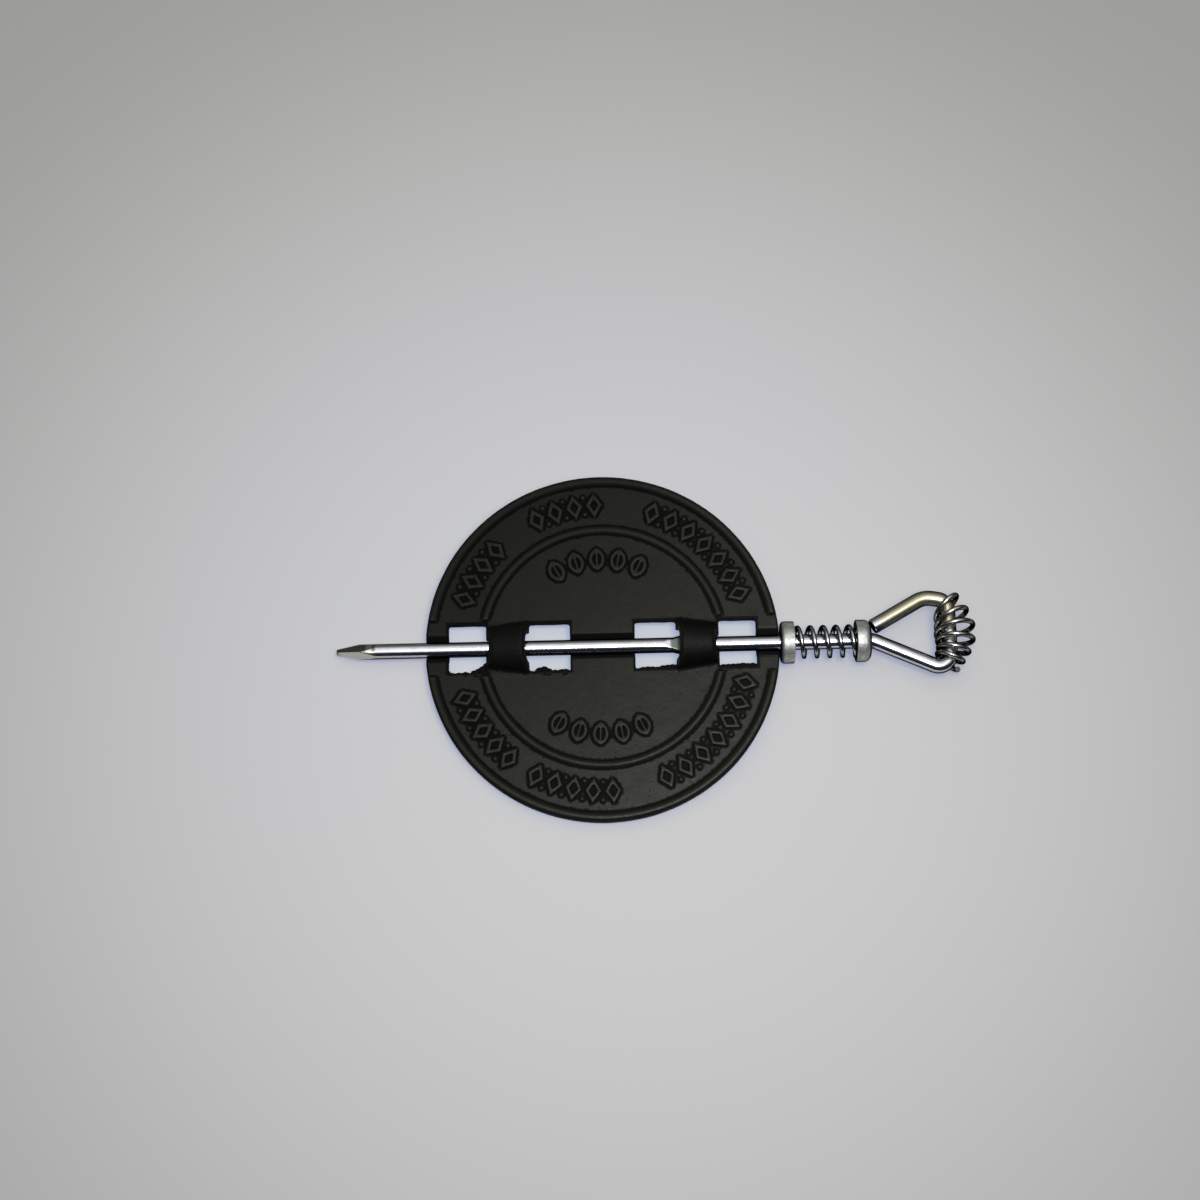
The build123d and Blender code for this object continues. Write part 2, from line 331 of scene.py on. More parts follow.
@dataclass(frozen=True)
class Finish:
    """The base of every finish."""

    name: str

    def dress(self, shader: Shader) -> None:
        """Fills in the shader. Each finish has its own."""
        raise NotImplementedError

    def material(self) -> bpy.types.Material:
        """Makes the finish.

        Returns:
            A new material.
        """
        material = bpy.data.materials.new(self.name)
        self.dress(Shader(material))
        return material


@dataclass(frozen=True)
class BlackIron(Finish):
    """Sand-cast iron in a thin black coat: painted shade in its creases, wear and painted highlight on its
    edges and beads.
    """

    deep: Colour = (0.0050, 0.0052, 0.0030)
    raised: Colour = (0.0115, 0.0118, 0.0072)
    # the near-black of painted shade
    shade_black: Colour = (0.0007, 0.0007, 0.0007)
    # the lighter tone of flecks, wear and painted highlight
    crest: Colour = (0.022, 0.022, 0.017)
    grain_size: float = 0.7
    grain_height: float = 0.07
    pit_size: float = 2.6
    pit_depth: float = 0.07
    lump_size: float = 9.0
    lump_height: float = 0.2
    fleck_size: float = 1.2
    strap_start: float = WINDOW_SPANS[0][1]
    strap_end: float = WINDOW_SPANS[1][0]
    strap_half_width: float = 11.0
    trough_radius: float = 5.9
    wall_top: float = 1.75
    rim_edge: float = 72.4
    lip_to: float = 0.6
    lip_from: float = 1.3
    # slope of the painted shade gradient
    shade_gradient_slope: float = 0.0045

    def on_straps(self, x: Value, y: Value, z: Value) -> Value:
        """Finds the straps' backs.

        Args:
            x: The place along the rod.
            y: The place across it.
            z: The height.

        Returns:
            1 on a strap, and 0 away from it.
        """
        length = abs(x).eased(self.strap_start - 1.0, self.strap_start + 1.5)
        length = length * abs(x).eased(self.strap_end + 1.5, self.strap_end - 1.0)
        width = abs(y).eased(self.strap_half_width + 0.5, self.strap_half_width - 1.0)
        return length * width * z.eased(1.6, 2.6)

    def painted_shade_places(self, x: Value, y: Value, z: Value) -> Value:
        """Finds where painted shade goes: the troughs under the rod, the windows' walls and lips, and the
        rim's side.

        Args:
            x: The place along the rod.
            y: The place across it.
            z: The height.

        Returns:
            1 where the painted shade is blackest, and 0 where it isn't.
        """
        trough = away(y, z).eased(self.trough_radius, self.trough_radius - 0.5)
        wall = z.eased(self.wall_top, self.wall_top - 0.45) * z.eased(-1.8, -1.4)
        rim = away(x, y).eased(self.rim_edge - 0.5, self.rim_edge + 0.3)
        across = abs(y) - WINDOW_HALF_WIDTH
        inner, outer = (
            (abs(abs(x) - (start + end) / 2) - (end - start) / 2).most(across) for start, end in WINDOW_SPANS
        )
        lips = inner.least(outer).eased(self.lip_from, self.lip_to) * z.eased(2.9, 2.5) * 0.9
        return trough.most(wall).most(rim).most(lips)

    def dress(self, shader: Shader) -> None:
        """Grain and pits all over, painted shade in the creases, wear and painted highlight on edges, and
        straps painted darker as shade and smoother.

        Args:
            shader: The shader that the nodes go to.
        """
        x, y, z = shader.split(shader.place)
        grain = shader.noise(shader.place, self.grain_size, 3.0, 0.6)
        pits = shader.cells(shader.place, self.pit_size).eased(0.20, 0.05)
        lumps = shader.noise(shader.place, self.lump_size, 3.0, 0.55)
        hollow = Value(shader, shader.carried("hollow").outputs["Fac"])
        strap = self.on_straps(x, y, z)
        # painted shade: black in the hollows, the troughs under the rod, the windows' walls and lips, and the
        # rim's side
        dark = hollow.eased(0.008, 0.05).most(self.painted_shade_places(x, y, z))
        # wear, with painted highlight: lighter on the raised edges and crests
        wear_and_highlight = hollow.eased(-0.02, -0.10) * z.eased(0.8, 2.4) * (grain * 1.3 + lumps * 0.6 - 0.45)
        flecks = shader.noise(shader.place, self.fleck_size, 2.0, 0.7).eased(0.64, 0.72) * (1 - dark)
        # painted shade: the plate is darker and rougher towards -X and +Y
        shade_gradient = (y - x) * self.shade_gradient_slope
        tone = (lumps * 1.5 - 0.3) * 0.6 + grain * 0.35 - pits * 0.4 - shade_gradient * 1.2
        colour = shader.blend(tone, self.deep, self.raised)
        colour = shader.blend(flecks * 0.5, colour, self.crest)
        # painted shade: the straps' backs are painted near-black
        colour = shader.blend(strap * 0.9, colour, self.shade_black)
        colour = shader.blend(wear_and_highlight * (1 - strap * 0.8), colour, self.crest)
        # painted shade laid over the colour
        colour = shader.blend(dark * 0.9, colour, self.shade_black)
        rough = 0.52 + strap * 0.12 - wear_and_highlight * 0.10 + dark * 0.42 + (grain - 0.5) * 0.25 + shade_gradient * 0.4
        shader.paint(Base_Color=colour, Roughness=rough, Specular_IOR_Level=0.16)
        height = grain * self.grain_height * (1 - strap * 0.45) - pits * self.pit_depth
        shader.relief(height + lumps * self.lump_height)


@dataclass(frozen=True)
class PlatedSteel(Finish):
    """Zinc on drawn steel, with duller spangles and fine scratches."""

    colour: Colour = (0.80, 0.82, 0.85)
    dull: Colour = (0.52, 0.54, 0.57)
    painted_edge_shade: Colour = (0.05, 0.05, 0.06)
    edge_shade_from: float = 0.22
    edge_shade_to: float = 0.56
    edge_shade_share: float = 0.95
    edge_tint: Colour = (0.12, 0.12, 0.13)
    smooth: float = 0.12
    spread: float = 0.12
    scratch_height: float = 0.005
    mottle_size: float = 2.2

    def plating(self, shader: Shader) -> tuple[bpy.types.NodeSocket, Value, Value]:
        """The plated surface.

        Args:
            shader: The shader that the nodes go to.

        Returns:
            The colour, the roughness and the height in millimetres.
        """
        mottle = shader.noise(shader.place, self.mottle_size, 4.0, 0.62)
        fine = shader.noise(shader.place, self.mottle_size / 6, 2.0, 0.6)
        colour = shader.blend((mottle - 0.35) * 1.6, self.colour, self.dull)
        return colour, self.smooth + (mottle * 0.7 + fine * 0.3) * self.spread, fine * self.scratch_height

    def dress(self, shader: Shader) -> None:
        """A bright metal with its plating's mottle, and painted shade along its edges where it turns away.

        Args:
            shader: The shader that the nodes go to.
        """
        colour, rough, height = self.plating(shader)
        # painted shade: darkened where the surface turns away from the view
        turned = Value(shader, shader.node("ShaderNodeLayerWeight", None, {"Blend": 0.5}).outputs["Facing"])
        turned = turned.eased(self.edge_shade_from, self.edge_shade_to)
        colour = shader.blend(turned * self.edge_shade_share, colour, self.painted_edge_shade)
        shader.paint(
            Base_Color=colour,
            Metallic=1.0,
            Roughness=rough,
            Specular_Tint=(*self.edge_tint, 1.0),
        )
        shader.relief(height)


@dataclass(frozen=True)
class RodSteel(PlatedSteel):
    """The rod's zinc, streaked along the rod, with its ground point, painted shade on its pressed key, and a
    warm stain.
    """

    ground: Colour = (0.70, 0.69, 0.65)
    scaled_face: Colour = (0.20, 0.19, 0.155)
    rust: Colour = (0.24, 0.15, 0.11)
    straw: Colour = (0.50, 0.46, 0.29)
    # painted shade for the pressed key
    pressed: Colour = (0.15, 0.16, 0.14)
    point_end: float = -109.8
    point_start: float = -109.8 + POINT_LENGTH
    key_start: float = 27.0
    key_end: float = 40.0
    stain_start: float = 111.0
    streak_size: float = 0.55
    streak_height: float = 0.012

    def plating(self, shader: Shader) -> tuple[bpy.types.NodeSocket, Value, Value]:
        """The plated surface with what each stretch of the rod adds.

        Args:
            shader: The shader that the nodes go to.

        Returns:
            The colour, the roughness and the height in millimetres.
        """
        colour, rough, height = super().plating(shader)
        x, y, z = shader.split(shader.place)
        drawn = shader.scaled(shader.carried("unrolled").outputs["Vector"], (0.04, 1.0, 1.0))
        streak = shader.noise(drawn, self.streak_size, 3.0, 0.65)
        mottle = shader.noise(shader.place, 3.0, 3.0, 0.6)
        scratch = shader.noise(shader.scaled(shader.place, (0.35, 1.0, 1.0)), 0.5, 3.0, 0.7)
        point = x.eased(self.point_start + 0.6, self.point_start - 0.4)
        roll = math.radians(POINT_ROLL)
        turned = y * (math.cos(roll) + math.sin(roll)) + z * (math.sin(roll) - math.cos(roll))
        upper = turned.eased(-0.15, 0.15) * x.peak(self.point_start - 2.6, 2.4).eased(0.9, 0.1)
        rusty = x.eased(self.point_end + 2.0, self.point_end + 0.2) * (scratch * 1.8 - 0.3)
        # painted shade: the pressed key is darkened and roughened to dim its reflection
        key = x.eased(self.key_start + 0.2, self.key_start + 1.5)
        key = key * x.eased(self.key_end + 0.5, self.key_end - 0.5)
        stain = x.eased(self.stain_start, self.stain_start + 6.0) * y.eased(3.5, 7.0)
        face = shader.blend(upper * (0.6 + scratch * 0.6), self.ground, self.scaled_face)
        colour = shader.blend(point, colour, face)
        colour = shader.blend(rusty, colour, self.rust)
        colour = shader.blend(stain * (0.55 + mottle * 0.6), colour, self.straw)
        colour = shader.blend(key, colour, self.pressed)
        rough = rough + (streak - 0.5) * 0.10 + point * scratch * 0.14 + key * 0.2 + stain * 0.16
        return colour, rough, height + streak * self.streak_height


@dataclass(frozen=True)
class CupZinc(PlatedSteel):
    """The drawn cups' dull zinc, greyed in spots, with painted shade inside."""

    colour: Colour = (0.60, 0.62, 0.58)
    dull: Colour = (0.18, 0.20, 0.17)
    # painted shade inside the cup
    dark: Colour = (0.05, 0.05, 0.055)
    edge_shade_from: float = 0.50
    edge_shade_to: float = 0.90
    smooth: float = 0.40
    spread: float = 0.24
    mottle_size: float = 2.0
    inner_radius: float = 7.85
    bore_radius: float = 3.6
    dent_size: float = 1.1
    dent_height: float = 0.13

    def plating(self, shader: Shader) -> tuple[bpy.types.NodeSocket, Value, Value]:
        """The plated surface, with painted shade inside the cup.

        Args:
            shader: The shader that the nodes go to.

        Returns:
            The colour, the roughness and the height in millimetres.
        """
        colour, rough, height = super().plating(shader)
        _, y, z = shader.split(shader.place)
        radius = away(y, z)
        # painted shade: the cup's inside is darkened
        inside = radius.eased(self.inner_radius + 0.5, self.inner_radius)
        inside = inside * radius.eased(self.bore_radius, self.bore_radius + 0.8)
        dent = shader.noise(shader.place, self.dent_size, 2.0, 0.6)
        return shader.blend(inside * 0.85, colour, self.dark), rough, height + dent * self.dent_height


@dataclass(frozen=True)
class WireZinc(PlatedSteel):
    """A coil's bright plate on drawn wire, dull at the sheared ends."""

    sheared: Colour = (0.12, 0.12, 0.11)

    def plating(self, shader: Shader) -> tuple[bpy.types.NodeSocket, Value, Value]:
        """The plated surface with its sheared ends.

        Args:
            shader: The shader that the nodes go to.

        Returns:
            The colour, the roughness and the height in millimetres.
        """
        colour, rough, height = super().plating(shader)
        end = Value(shader, shader.carried("sheared").outputs["Fac"])
        return shader.blend(end, colour, self.sheared), rough + end * 0.5, height


@dataclass(frozen=True)
class PalePaper(Finish):
    """The plain sheet that the object lies on.

    To the camera its shadows near the object glow bluish, and far from the object it shows plain.
    """

    colour: Colour = (0.62, 0.615, 0.60)
    warm: Colour = (0.375, 0.325, 0.13)
    glow: Colour = (0.23, 0.28, 0.475)
    far_warm: Colour = (0.325, 0.320, 0.310)
    far_glow: Colour = (0.290, 0.293, 0.300)
    tinted_to: float = 110.0
    plain_beyond: float = 260.0
    far: Colour = (0.40, 0.40, 0.405)
    # painted light under the windows
    window_glow: Colour = (0.285, 0.345, 0.545)
    under_windows: tuple[float, float] = (64.0, 10.0)
    under_windows_edge: tuple[float, float] = (4.0, 3.0)
    # centre of the painted pool of light
    bright_spot: tuple[float, float] = (0.0, -5.0)
    dims_from: float = 60.0
    dims_to: float = 420.0
    dimmest: float = 0.62
    plain_from: float = 420.0
    plain_to: float = 900.0

    def dress(self, shader: Shader) -> None:
        """A matt surface with a painted pool of light: it dims away from its bright spot.

        Args:
            shader: The shader that the nodes go to.
        """
        x, y, _ = shader.split(shader.place)
        from_spot = away(x - self.bright_spot[0], y - self.bright_spot[1])
        # painted light: the paper is brightest at the bright spot and dims away from it
        tone = (from_spot.eased(self.dims_from, self.dims_to) * (self.dimmest - 1) + 1).least(1.0)
        path = shader.node("ShaderNodeLightPath")
        camera = Value(shader, path.outputs["Is Camera Ray"])
        seen = camera.most(Value(shader, path.outputs["Is Glossy Ray"]))
        near = away(x, y).eased(self.plain_beyond, self.tinted_to)
        paper = shader.blend(camera, self.colour, shader.blend(near, self.far_warm, self.warm))
        paper = shader.blend(tone, (0.0, 0.0, 0.0), paper)
        # painted light: to the camera the paper glows bluish near the object, most under the windows
        glow = shader.blend(near, self.far_glow, self.glow)
        (along, across), (end, side) = self.under_windows, self.under_windows_edge
        under = abs(y).eased(across + side, across) * abs(x).eased(along + end, along)
        glow = shader.blend(under, glow, self.window_glow)
        glow = shader.blend(tone * camera, (0.0, 0.0, 0.0), glow)
        shader.paint(
            Base_Color=paper,
            Roughness=0.85,
            Specular_IOR_Level=0.1,
            Emission_Color=glow,
            Emission_Strength=1.0,
        )
        share = seen * away(x, y).eased(self.plain_from, self.plain_to)
        plain = shader.node("ShaderNodeEmission", None, {"Color": (*self.far, 1.0), "Strength": 1.0})
        inputs = {0: share, 1: shader.surface.outputs[0], 2: plain.outputs[0]}
        mixed = shader.node("ShaderNodeMixShader", None, inputs)
        shader.node("ShaderNodeOutputMaterial", None, {"Surface": mixed.outputs[0]}).is_active_output = True


class Slot(Enum):
    """Material slot names."""

    IRON = "plate_iron"
    ROD = "rod_steel"
    COIL = "coil_steel"
    CUP = "cup_steel"
    SPRING = "spring_steel"


# Objects and meshes


def add_object(name: str, mesh: bpy.types.Mesh) -> bpy.types.Object:
    """Puts a mesh into the scene.

    Args:
        name: The object's name.
        mesh: Its mesh.

    Returns:
        The object, at the origin.
    """
    item = bpy.data.objects.new(name, mesh)
    bpy.context.scene.collection.objects.link(item)
    return item


def loft(rings: Sequence[Sequence[Sequence[float]]], looped: bool = False) -> bmesh.types.BMesh:
    """Skins a row of rings to a closed shape.

    Args:
        rings: The rings' points in millimetres. Every ring has the same number of them.
        looped: Whether the last ring joins the first. If not, a fan of faces closes each end.

    Returns:
        The shape in metres, with its faces outwards. Its points are the rings', then the fans' two middles.
    """
    shape = bmesh.new()
    loops = [[shape.verts.new([length * MM for length in point]) for point in ring] for ring in rings]
    count = len(loops[0])
    following = loops[1:] + loops[:1] if looped else loops[1:]
    for lower, upper in zip(loops, following):
        for here in range(count):
            after = (here + 1) % count
            shape.faces.new((lower[here], lower[after], upper[after], upper[here]))
    ends = [] if looped else [loops[0], loops[-1]]
    for ring in ends:
        middle = shape.verts.new(sum((point.co for point in ring), Vector()) / count)
        for here in range(count):
            shape.faces.new((ring[here], ring[(here + 1) % count], middle))
    bmesh.ops.recalc_face_normals(shape, faces=shape.faces)
    return shape


def as_mesh(shape: bmesh.types.BMesh, name: str) -> bpy.types.Mesh:
    """Turns a shape into a mesh.

    Args:
        shape: The shape, which is freed.
        name: The mesh's name.

    Returns:
        The mesh.
    """
    mesh = bpy.data.meshes.new(name)
    shape.to_mesh(mesh)
    shape.free()
    return mesh


def smooth_by_angle(mesh: bpy.types.Mesh, angle: float) -> None:
    """Shades a mesh smooth, except at its sharp edges.

    Args:
        mesh: The mesh.
        angle: By how many degrees a sharp edge turns, or more.
    """
    shape = bmesh.new()
    shape.from_mesh(mesh)
    for face in shape.faces:
        face.smooth = True
    for edge in shape.edges:
        edge.smooth = len(edge.link_faces) == 2 and edge.calc_face_angle() < math.radians(angle)
    shape.to_mesh(mesh)
    shape.free()


def register(
    item: bpy.types.Object, body: str, node: str, material: bpy.types.Material
) -> bpy.types.Object:
    """Reports a finished piece to the frame.

    Args:
        item: The piece, at the origin.
        body: The body that it moves with.
        node: The solid that it stands for.
        material: Its finish.

    Returns:
        The piece.
    """
    item.data.materials.clear()
    item.data.materials.append(material)
    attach(item, body)
    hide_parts(node)
    log.info("%s rides on %s with %d faces", item.name, body, len(item.data.polygons))
    return item


def frozen(item: bpy.types.Object) -> bpy.types.Mesh:
    """Takes the mesh that an object's modifiers make.

    Args:
        item: The object, which is removed.

    Returns:
        A plain mesh.
    """
    graph = bpy.context.evaluated_depsgraph_get()
    mesh = bpy.data.meshes.new_from_object(item.evaluated_get(graph))
    bpy.data.objects.remove(item)
    return mesh


class ShapeTree(Graph):
    """A Geometry Nodes tree with named inputs for its sizes."""

    def __init__(self, name: str, sizes: dict[str, float]) -> None:
        """Starts a tree.

        Args:
            name: The tree's name.
            sizes: What each input is set to, by the input's name.
        """
        super().__init__(bpy.data.node_groups.new(name, "GeometryNodeTree"))
        self.name = name
        self.sizes = sizes
        add = self.tree.interface.new_socket
        add("Geometry", in_out="OUTPUT", socket_type="NodeSocketGeometry")
        add("Geometry", in_out="INPUT", socket_type="NodeSocketGeometry")
        self.sockets = {size: add(size, in_out="INPUT", socket_type="NodeSocketFloat") for size in sizes}
        given = self.node("NodeGroupInput").outputs
        self.geometry = given["Geometry"]
        self.inputs = {size: Value(self, given[size]) for size in sizes}

    def index(self) -> Value:
        """The number of each point, from 0."""
        return Value(self, self.node("GeometryNodeInputIndex").outputs[0])

    def points(self, count: int, place: bpy.types.NodeSocket) -> bpy.types.NodeSocket:
        """Lays out points on a line of edges.

        Args:
            count: How many points there are.
            place: Where each is, in metres.

        Returns:
            The line.
        """
        row = self.node("GeometryNodeMeshLine", None, {"Count": count})
        inputs = {"Geometry": row.outputs[0], "Position": place}
        return self.node("GeometryNodeSetPosition", None, inputs).outputs[0]

    def finish(self, geometry: bpy.types.NodeSocket, material: bpy.types.Material) -> None:
        """Ends the tree with its instances made real and its material set.

        Args:
            geometry: What the tree has made.
            material: The material of all of it.
        """
        real = self.node("GeometryNodeRealizeInstances", None, {"Geometry": geometry})
        inputs = {"Geometry": real.outputs[0], "Material": material}
        dressed = self.node("GeometryNodeSetMaterial", None, inputs)
        self.node("NodeGroupOutput", None, {0: dressed.outputs[0]})

    def put_on(self, item: bpy.types.Object) -> None:
        """Adds the tree to an object as its last modifier, with every input set.

        Args:
            item: The object.
        """
        modifier = item.modifiers.new(self.name, "NODES")
        modifier.node_group = self.tree
        for size, socket in self.sockets.items():
            modifier[socket.identifier] = self.sizes[size]

    def made(self) -> bpy.types.Mesh:
        """Runs the tree by itself.

        Returns:
            What it makes, as a plain mesh.
        """
        item = add_object(self.name, bpy.data.meshes.new(self.name))
        self.put_on(item)
        return frozen(item)


def rounded(corners: Sequence[Point], radii: Sequence[float], steps: int = 7) -> list[Point]:
    """An open line whose inner corners are rounded.

    Args:
        corners: The line's ends and corners.
        radii: The radius at each inner corner.
        steps: How many points each rounding has.

    Returns:
        The line's points.
    """
    line = [corners[0]]
    for before, corner, after, radius in zip(corners, corners[1:], corners[2:], radii):
        here = Vector(corner)
        back = (Vector(before) - here).normalized()
        ahead = (Vector(after) - here).normalized()
        half = back.angle(ahead) / 2
        centre = here + (back + ahead).normalized() * (radius / math.sin(half))
        first = here + back * (radius / math.tan(half)) - centre
        last = here + ahead * (radius / math.tan(half)) - centre
        sweep = first.angle(last)
        for step in range(steps):
            share = step / (steps - 1)
            spoke = first * math.sin((1 - share) * sweep) + last * math.sin(share * sweep)
            line.append(tuple(centre + spoke / math.sin(sweep)))
    line.append(corners[-1])
    return line


@dataclass
class WoundWire:
    """A round wire along a wound line, swept by a Geometry Nodes tree.

    The line is a formula of the turn, so that the tree's inputs are the coil's own sizes.
    """

    name: str
    sizes: dict[str, float]
    line: Callable[[Graph, Value, dict[str, Value]], bpy.types.NodeSocket]
    turns: float
    wire: float
    lead: float
    steps_per_turn: int = 56
    sides: int = 18
    smooth_to: float = 50.0

    def build(self, material: bpy.types.Material) -> bpy.types.Mesh:
        """Builds the tree and runs it once.

        Args:
            material: The wire's finish.

        Returns:
            The coil's mesh, which carries sheared, 1 at the wire's cut ends.
        """
        sizes = {"Turns": self.turns, "Lead": self.lead, "Wire Radius": self.wire / 2, **self.sizes}
        tree = ShapeTree(self.name, sizes)
        count = round(self.turns * self.steps_per_turn) + 1
        whole = tree.inputs["Turns"] + tree.inputs["Lead"] * 2
        turn = tree.index() / (count - 1) * whole - tree.inputs["Lead"]
        row = tree.points(count, tree.scaled(self.line(tree, turn, tree.inputs), MM))
        curve = tree.node("GeometryNodeMeshToCurve", None, {"Mesh": row})
        inputs = {"Resolution": self.sides, "Radius": tree.inputs["Wire Radius"] * MM}
        ring = tree.node("GeometryNodeCurvePrimitiveCircle", {"mode": "RADIUS"}, inputs)
        inputs = {"Curve": curve.outputs[0], "Profile Curve": ring.outputs[0], "Fill Caps": True}
        tree.finish(tree.node("GeometryNodeCurveToMesh", None, inputs).outputs[0], material)
        mesh = tree.made()
        smooth_by_angle(mesh, self.smooth_to)
        ends = np.zeros(len(mesh.vertices), np.float32)
        for face in mesh.polygons:
            if len(face.vertices) > 4:
                ends[list(face.vertices)] = 1.0
        mesh.attributes.new("sheared", "FLOAT", "POINT").data.foreach_set("value", ends)
        return mesh


# Sub-assemblies


@dataclass
class Casting:
    """The plate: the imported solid, with bosses between its ornaments, as one rough sand casting."""

    voxel: float = 0.32
    most_triangles: int = 190000
    face_height: float = 2.0
    boss_height: float = 0.75
    boss_sink: float = 0.6
    boss_radius: float = 0.9
    boss_sides: int = 12
    band_radius: float = 60.6
    band_spread: float = 3.7
    band_runs: tuple[tuple[float, float, int], ...] = (
        (136.2, 159.8, 4),
        (92.2, 115.8, 4),
        (20.2, 68.8, 7),
        (200.2, 229.8, 5),
        (242.2, 272.8, 5),
        (294.2, 343.8, 7),
    )
    flash: tuple[tuple[float, float, float], ...] = (
        (-53.4, -10.4, 1.3),
        (-51.4, -10.0, 1.8),
        (-49.6, -9.2, 2.0),
        (-48.2, -7.2, 1.3),
        (-26.2, -9.9, 1.7),
        (-24.2, -9.6, 1.9),
        (-22.4, -10.2, 1.6),
        (-19.6, -10.5, 1.3),
        (-17.2, -10.6, 1.4),
        (-14.9, -10.5, 1.3),
        (14.6, -10.6, 1.2),
        (16.4, -10.5, 1.5),
        (18.4, -10.5, 1.7),
        (20.4, -10.5, 1.7),
        (22.4, -10.5, 1.5),
        (24.6, -10.3, 1.9),
        (26.6, -10.1, 1.9),
        (28.6, -9.9, 1.9),
        (49.6, -10.3, 1.8),
        (51.6, -10.3, 1.9),
        (53.6, -10.2, 1.9),
        (55.6, -10.2, 1.9),
        (57.6, -10.1, 2.0),
        (59.6, -10.2, 1.9),
        (61.6, -10.1, 1.9),
    )
    flash_depth: float = 1.8
    strap_ends: tuple[tuple[float, float], ...] = ((WINDOW_SPANS[0][1], 10.9), (WINDOW_SPANS[1][0], 8.3))
    strap_middle: float = 39.0
    mould: dict[str, float] = field(
        default_factory=lambda: {"Swell": 0.22, "Grain": 0.10, "Flash": 1.0, "Ragged Lips": 1.2}
    )
    swell_size: float = 14.0
    grain_size: float = 2.2
    flash_size: float = 3.0
    lip_size: float = 4.0
    crease_reach: int = 6
    held_in: float = 0.9999

    def boss(self) -> bpy.types.Mesh:
        """Builds a raised round boss with a domed top.

        Returns:
            The boss, upright at the plate's centre.
        """
        low = self.face_height - self.boss_sink
        high = self.face_height + self.boss_height
        spokes = [TURN * step / self.boss_sides for step in range(self.boss_sides)]
        rings = []
        for share, height in ((1.0, low), (0.96, high - 0.4), (0.74, high - 0.1), (0.3, high)):
            size = self.boss_radius * share
            rings.append([(size * math.cos(spoke), size * math.sin(spoke), height) for spoke in spokes])
        return as_mesh(loft(rings), "boss")

    def bosses(
        self, boss: bpy.types.Mesh, radius: float, run: tuple[float, float, int], iron: bpy.types.Material
    ) -> bpy.types.Mesh:
        """Bosses on an arc about the plate's centre, one between each two ornaments of a run.

        Args:
            boss: What is repeated.
            radius: The arc's radius.
            run: The run's first and last angle in degrees, and how many ornaments it has.
            iron: The plate's finish.

        Returns:
            The bosses as one mesh.
        """
        first, last, count = run
        step = (last - first) / (count - 1)
        source = add_object("boss", boss)
        first_angle = math.radians(first + step / 2)
        sizes = {"Radius": radius * MM, "First Angle": first_angle, "Step": math.radians(step)}
        tree = ShapeTree("boss_run", sizes)
        angle = tree.inputs["First Angle"] + tree.inputs["Step"] * tree.index()
        reach = tree.inputs["Radius"]
        row = tree.points(count - 1, tree.vector(reach * angle.cosine(), reach * angle.sine(), 0.0))
        picked = tree.node("GeometryNodeObjectInfo", None, {"Object": source})
        inputs = {"Points": row, "Instance": picked.outputs["Geometry"]}
        tree.finish(tree.node("GeometryNodeInstanceOnPoints", None, inputs).outputs[0], iron)
        mesh = tree.made()
        bpy.data.objects.remove(source)
        return mesh

    def added_work(self, iron: bpy.types.Material) -> list[bpy.types.Mesh]:
        """Builds two rows of bosses along the outer band, and the flash that the mould left at the windows.

        Args:
            iron: The plate's finish.

        Returns:
            The meshes that the casting's skin is drawn over.
        """
        boss = self.boss()
        rows = (self.band_radius - self.band_spread, self.band_radius + self.band_spread)
        added = [self.bosses(boss, radius, run, iron) for run in self.band_runs for radius in rows]
        shape = bmesh.new()
        for x, y, radius in self.flash:
            place = Matrix.Translation((x * MM, y * MM, 0.0))
            size = Matrix.Diagonal((radius * MM, radius * MM, self.flash_depth * MM, 1.0))
            bmesh.ops.create_icosphere(shape, subdivisions=3, radius=1.0, matrix=place @ size)
        added.append(as_mesh(shape, "flash"))
        return added

    def _roughness(self, tree: ShapeTree, place: bpy.types.NodeSocket) -> Value:
        """Works out how rough the skin is: a little all over, and ragged at the windows and the straps' ends.

        Args:
            tree: The mould's tree.
            place: The skin's place, in millimetres.

        Returns:
            How far the skin moves outwards, in millimetres.
        """
        x, y, z = tree.split(place)
        even = (tree.noise(place, self.swell_size, 2.0) - 0.5) * tree.inputs["Swell"]
        even = even + (tree.noise(place, self.grain_size, 3.0) - 0.5) * tree.inputs["Grain"]
        upright = tree.vector(x, y, z * 0.3)
        edge = abs(abs(y) - WINDOW_HALF_WIDTH).eased(1.5, 0.3)
        inner, outer = (
            abs(abs(x) - (start + end) / 2).eased((end - start) / 2 + 1.2, (end - start) / 2 - 0.4)
            for start, end in WINDOW_SPANS
        )
        worse = 0.5 + y.eased(-2.0, -6.0) * (0.6 + x.eased(10.0, -10.0) * 1.5)
        flash = (tree.noise(upright, self.flash_size, 3.0, 0.6) - 0.42) * edge * inner.most(outer) * worse
        near_end, far_end = (
            abs(abs(x) - end - (end - self.strap_middle) * 0.03).eased(2.6, 0.6)
            * abs(y).eased(half_width + 0.6, half_width - 1.2)
            for end, half_width in self.strap_ends
        )
        lips = (tree.noise(upright, self.lip_size, 2.0, 0.6) - 0.5) * near_end.most(far_end)
        lips = lips * z.eased(2.2, 3.6)
        return even + flash * tree.inputs["Flash"] + lips * tree.inputs["Ragged Lips"]

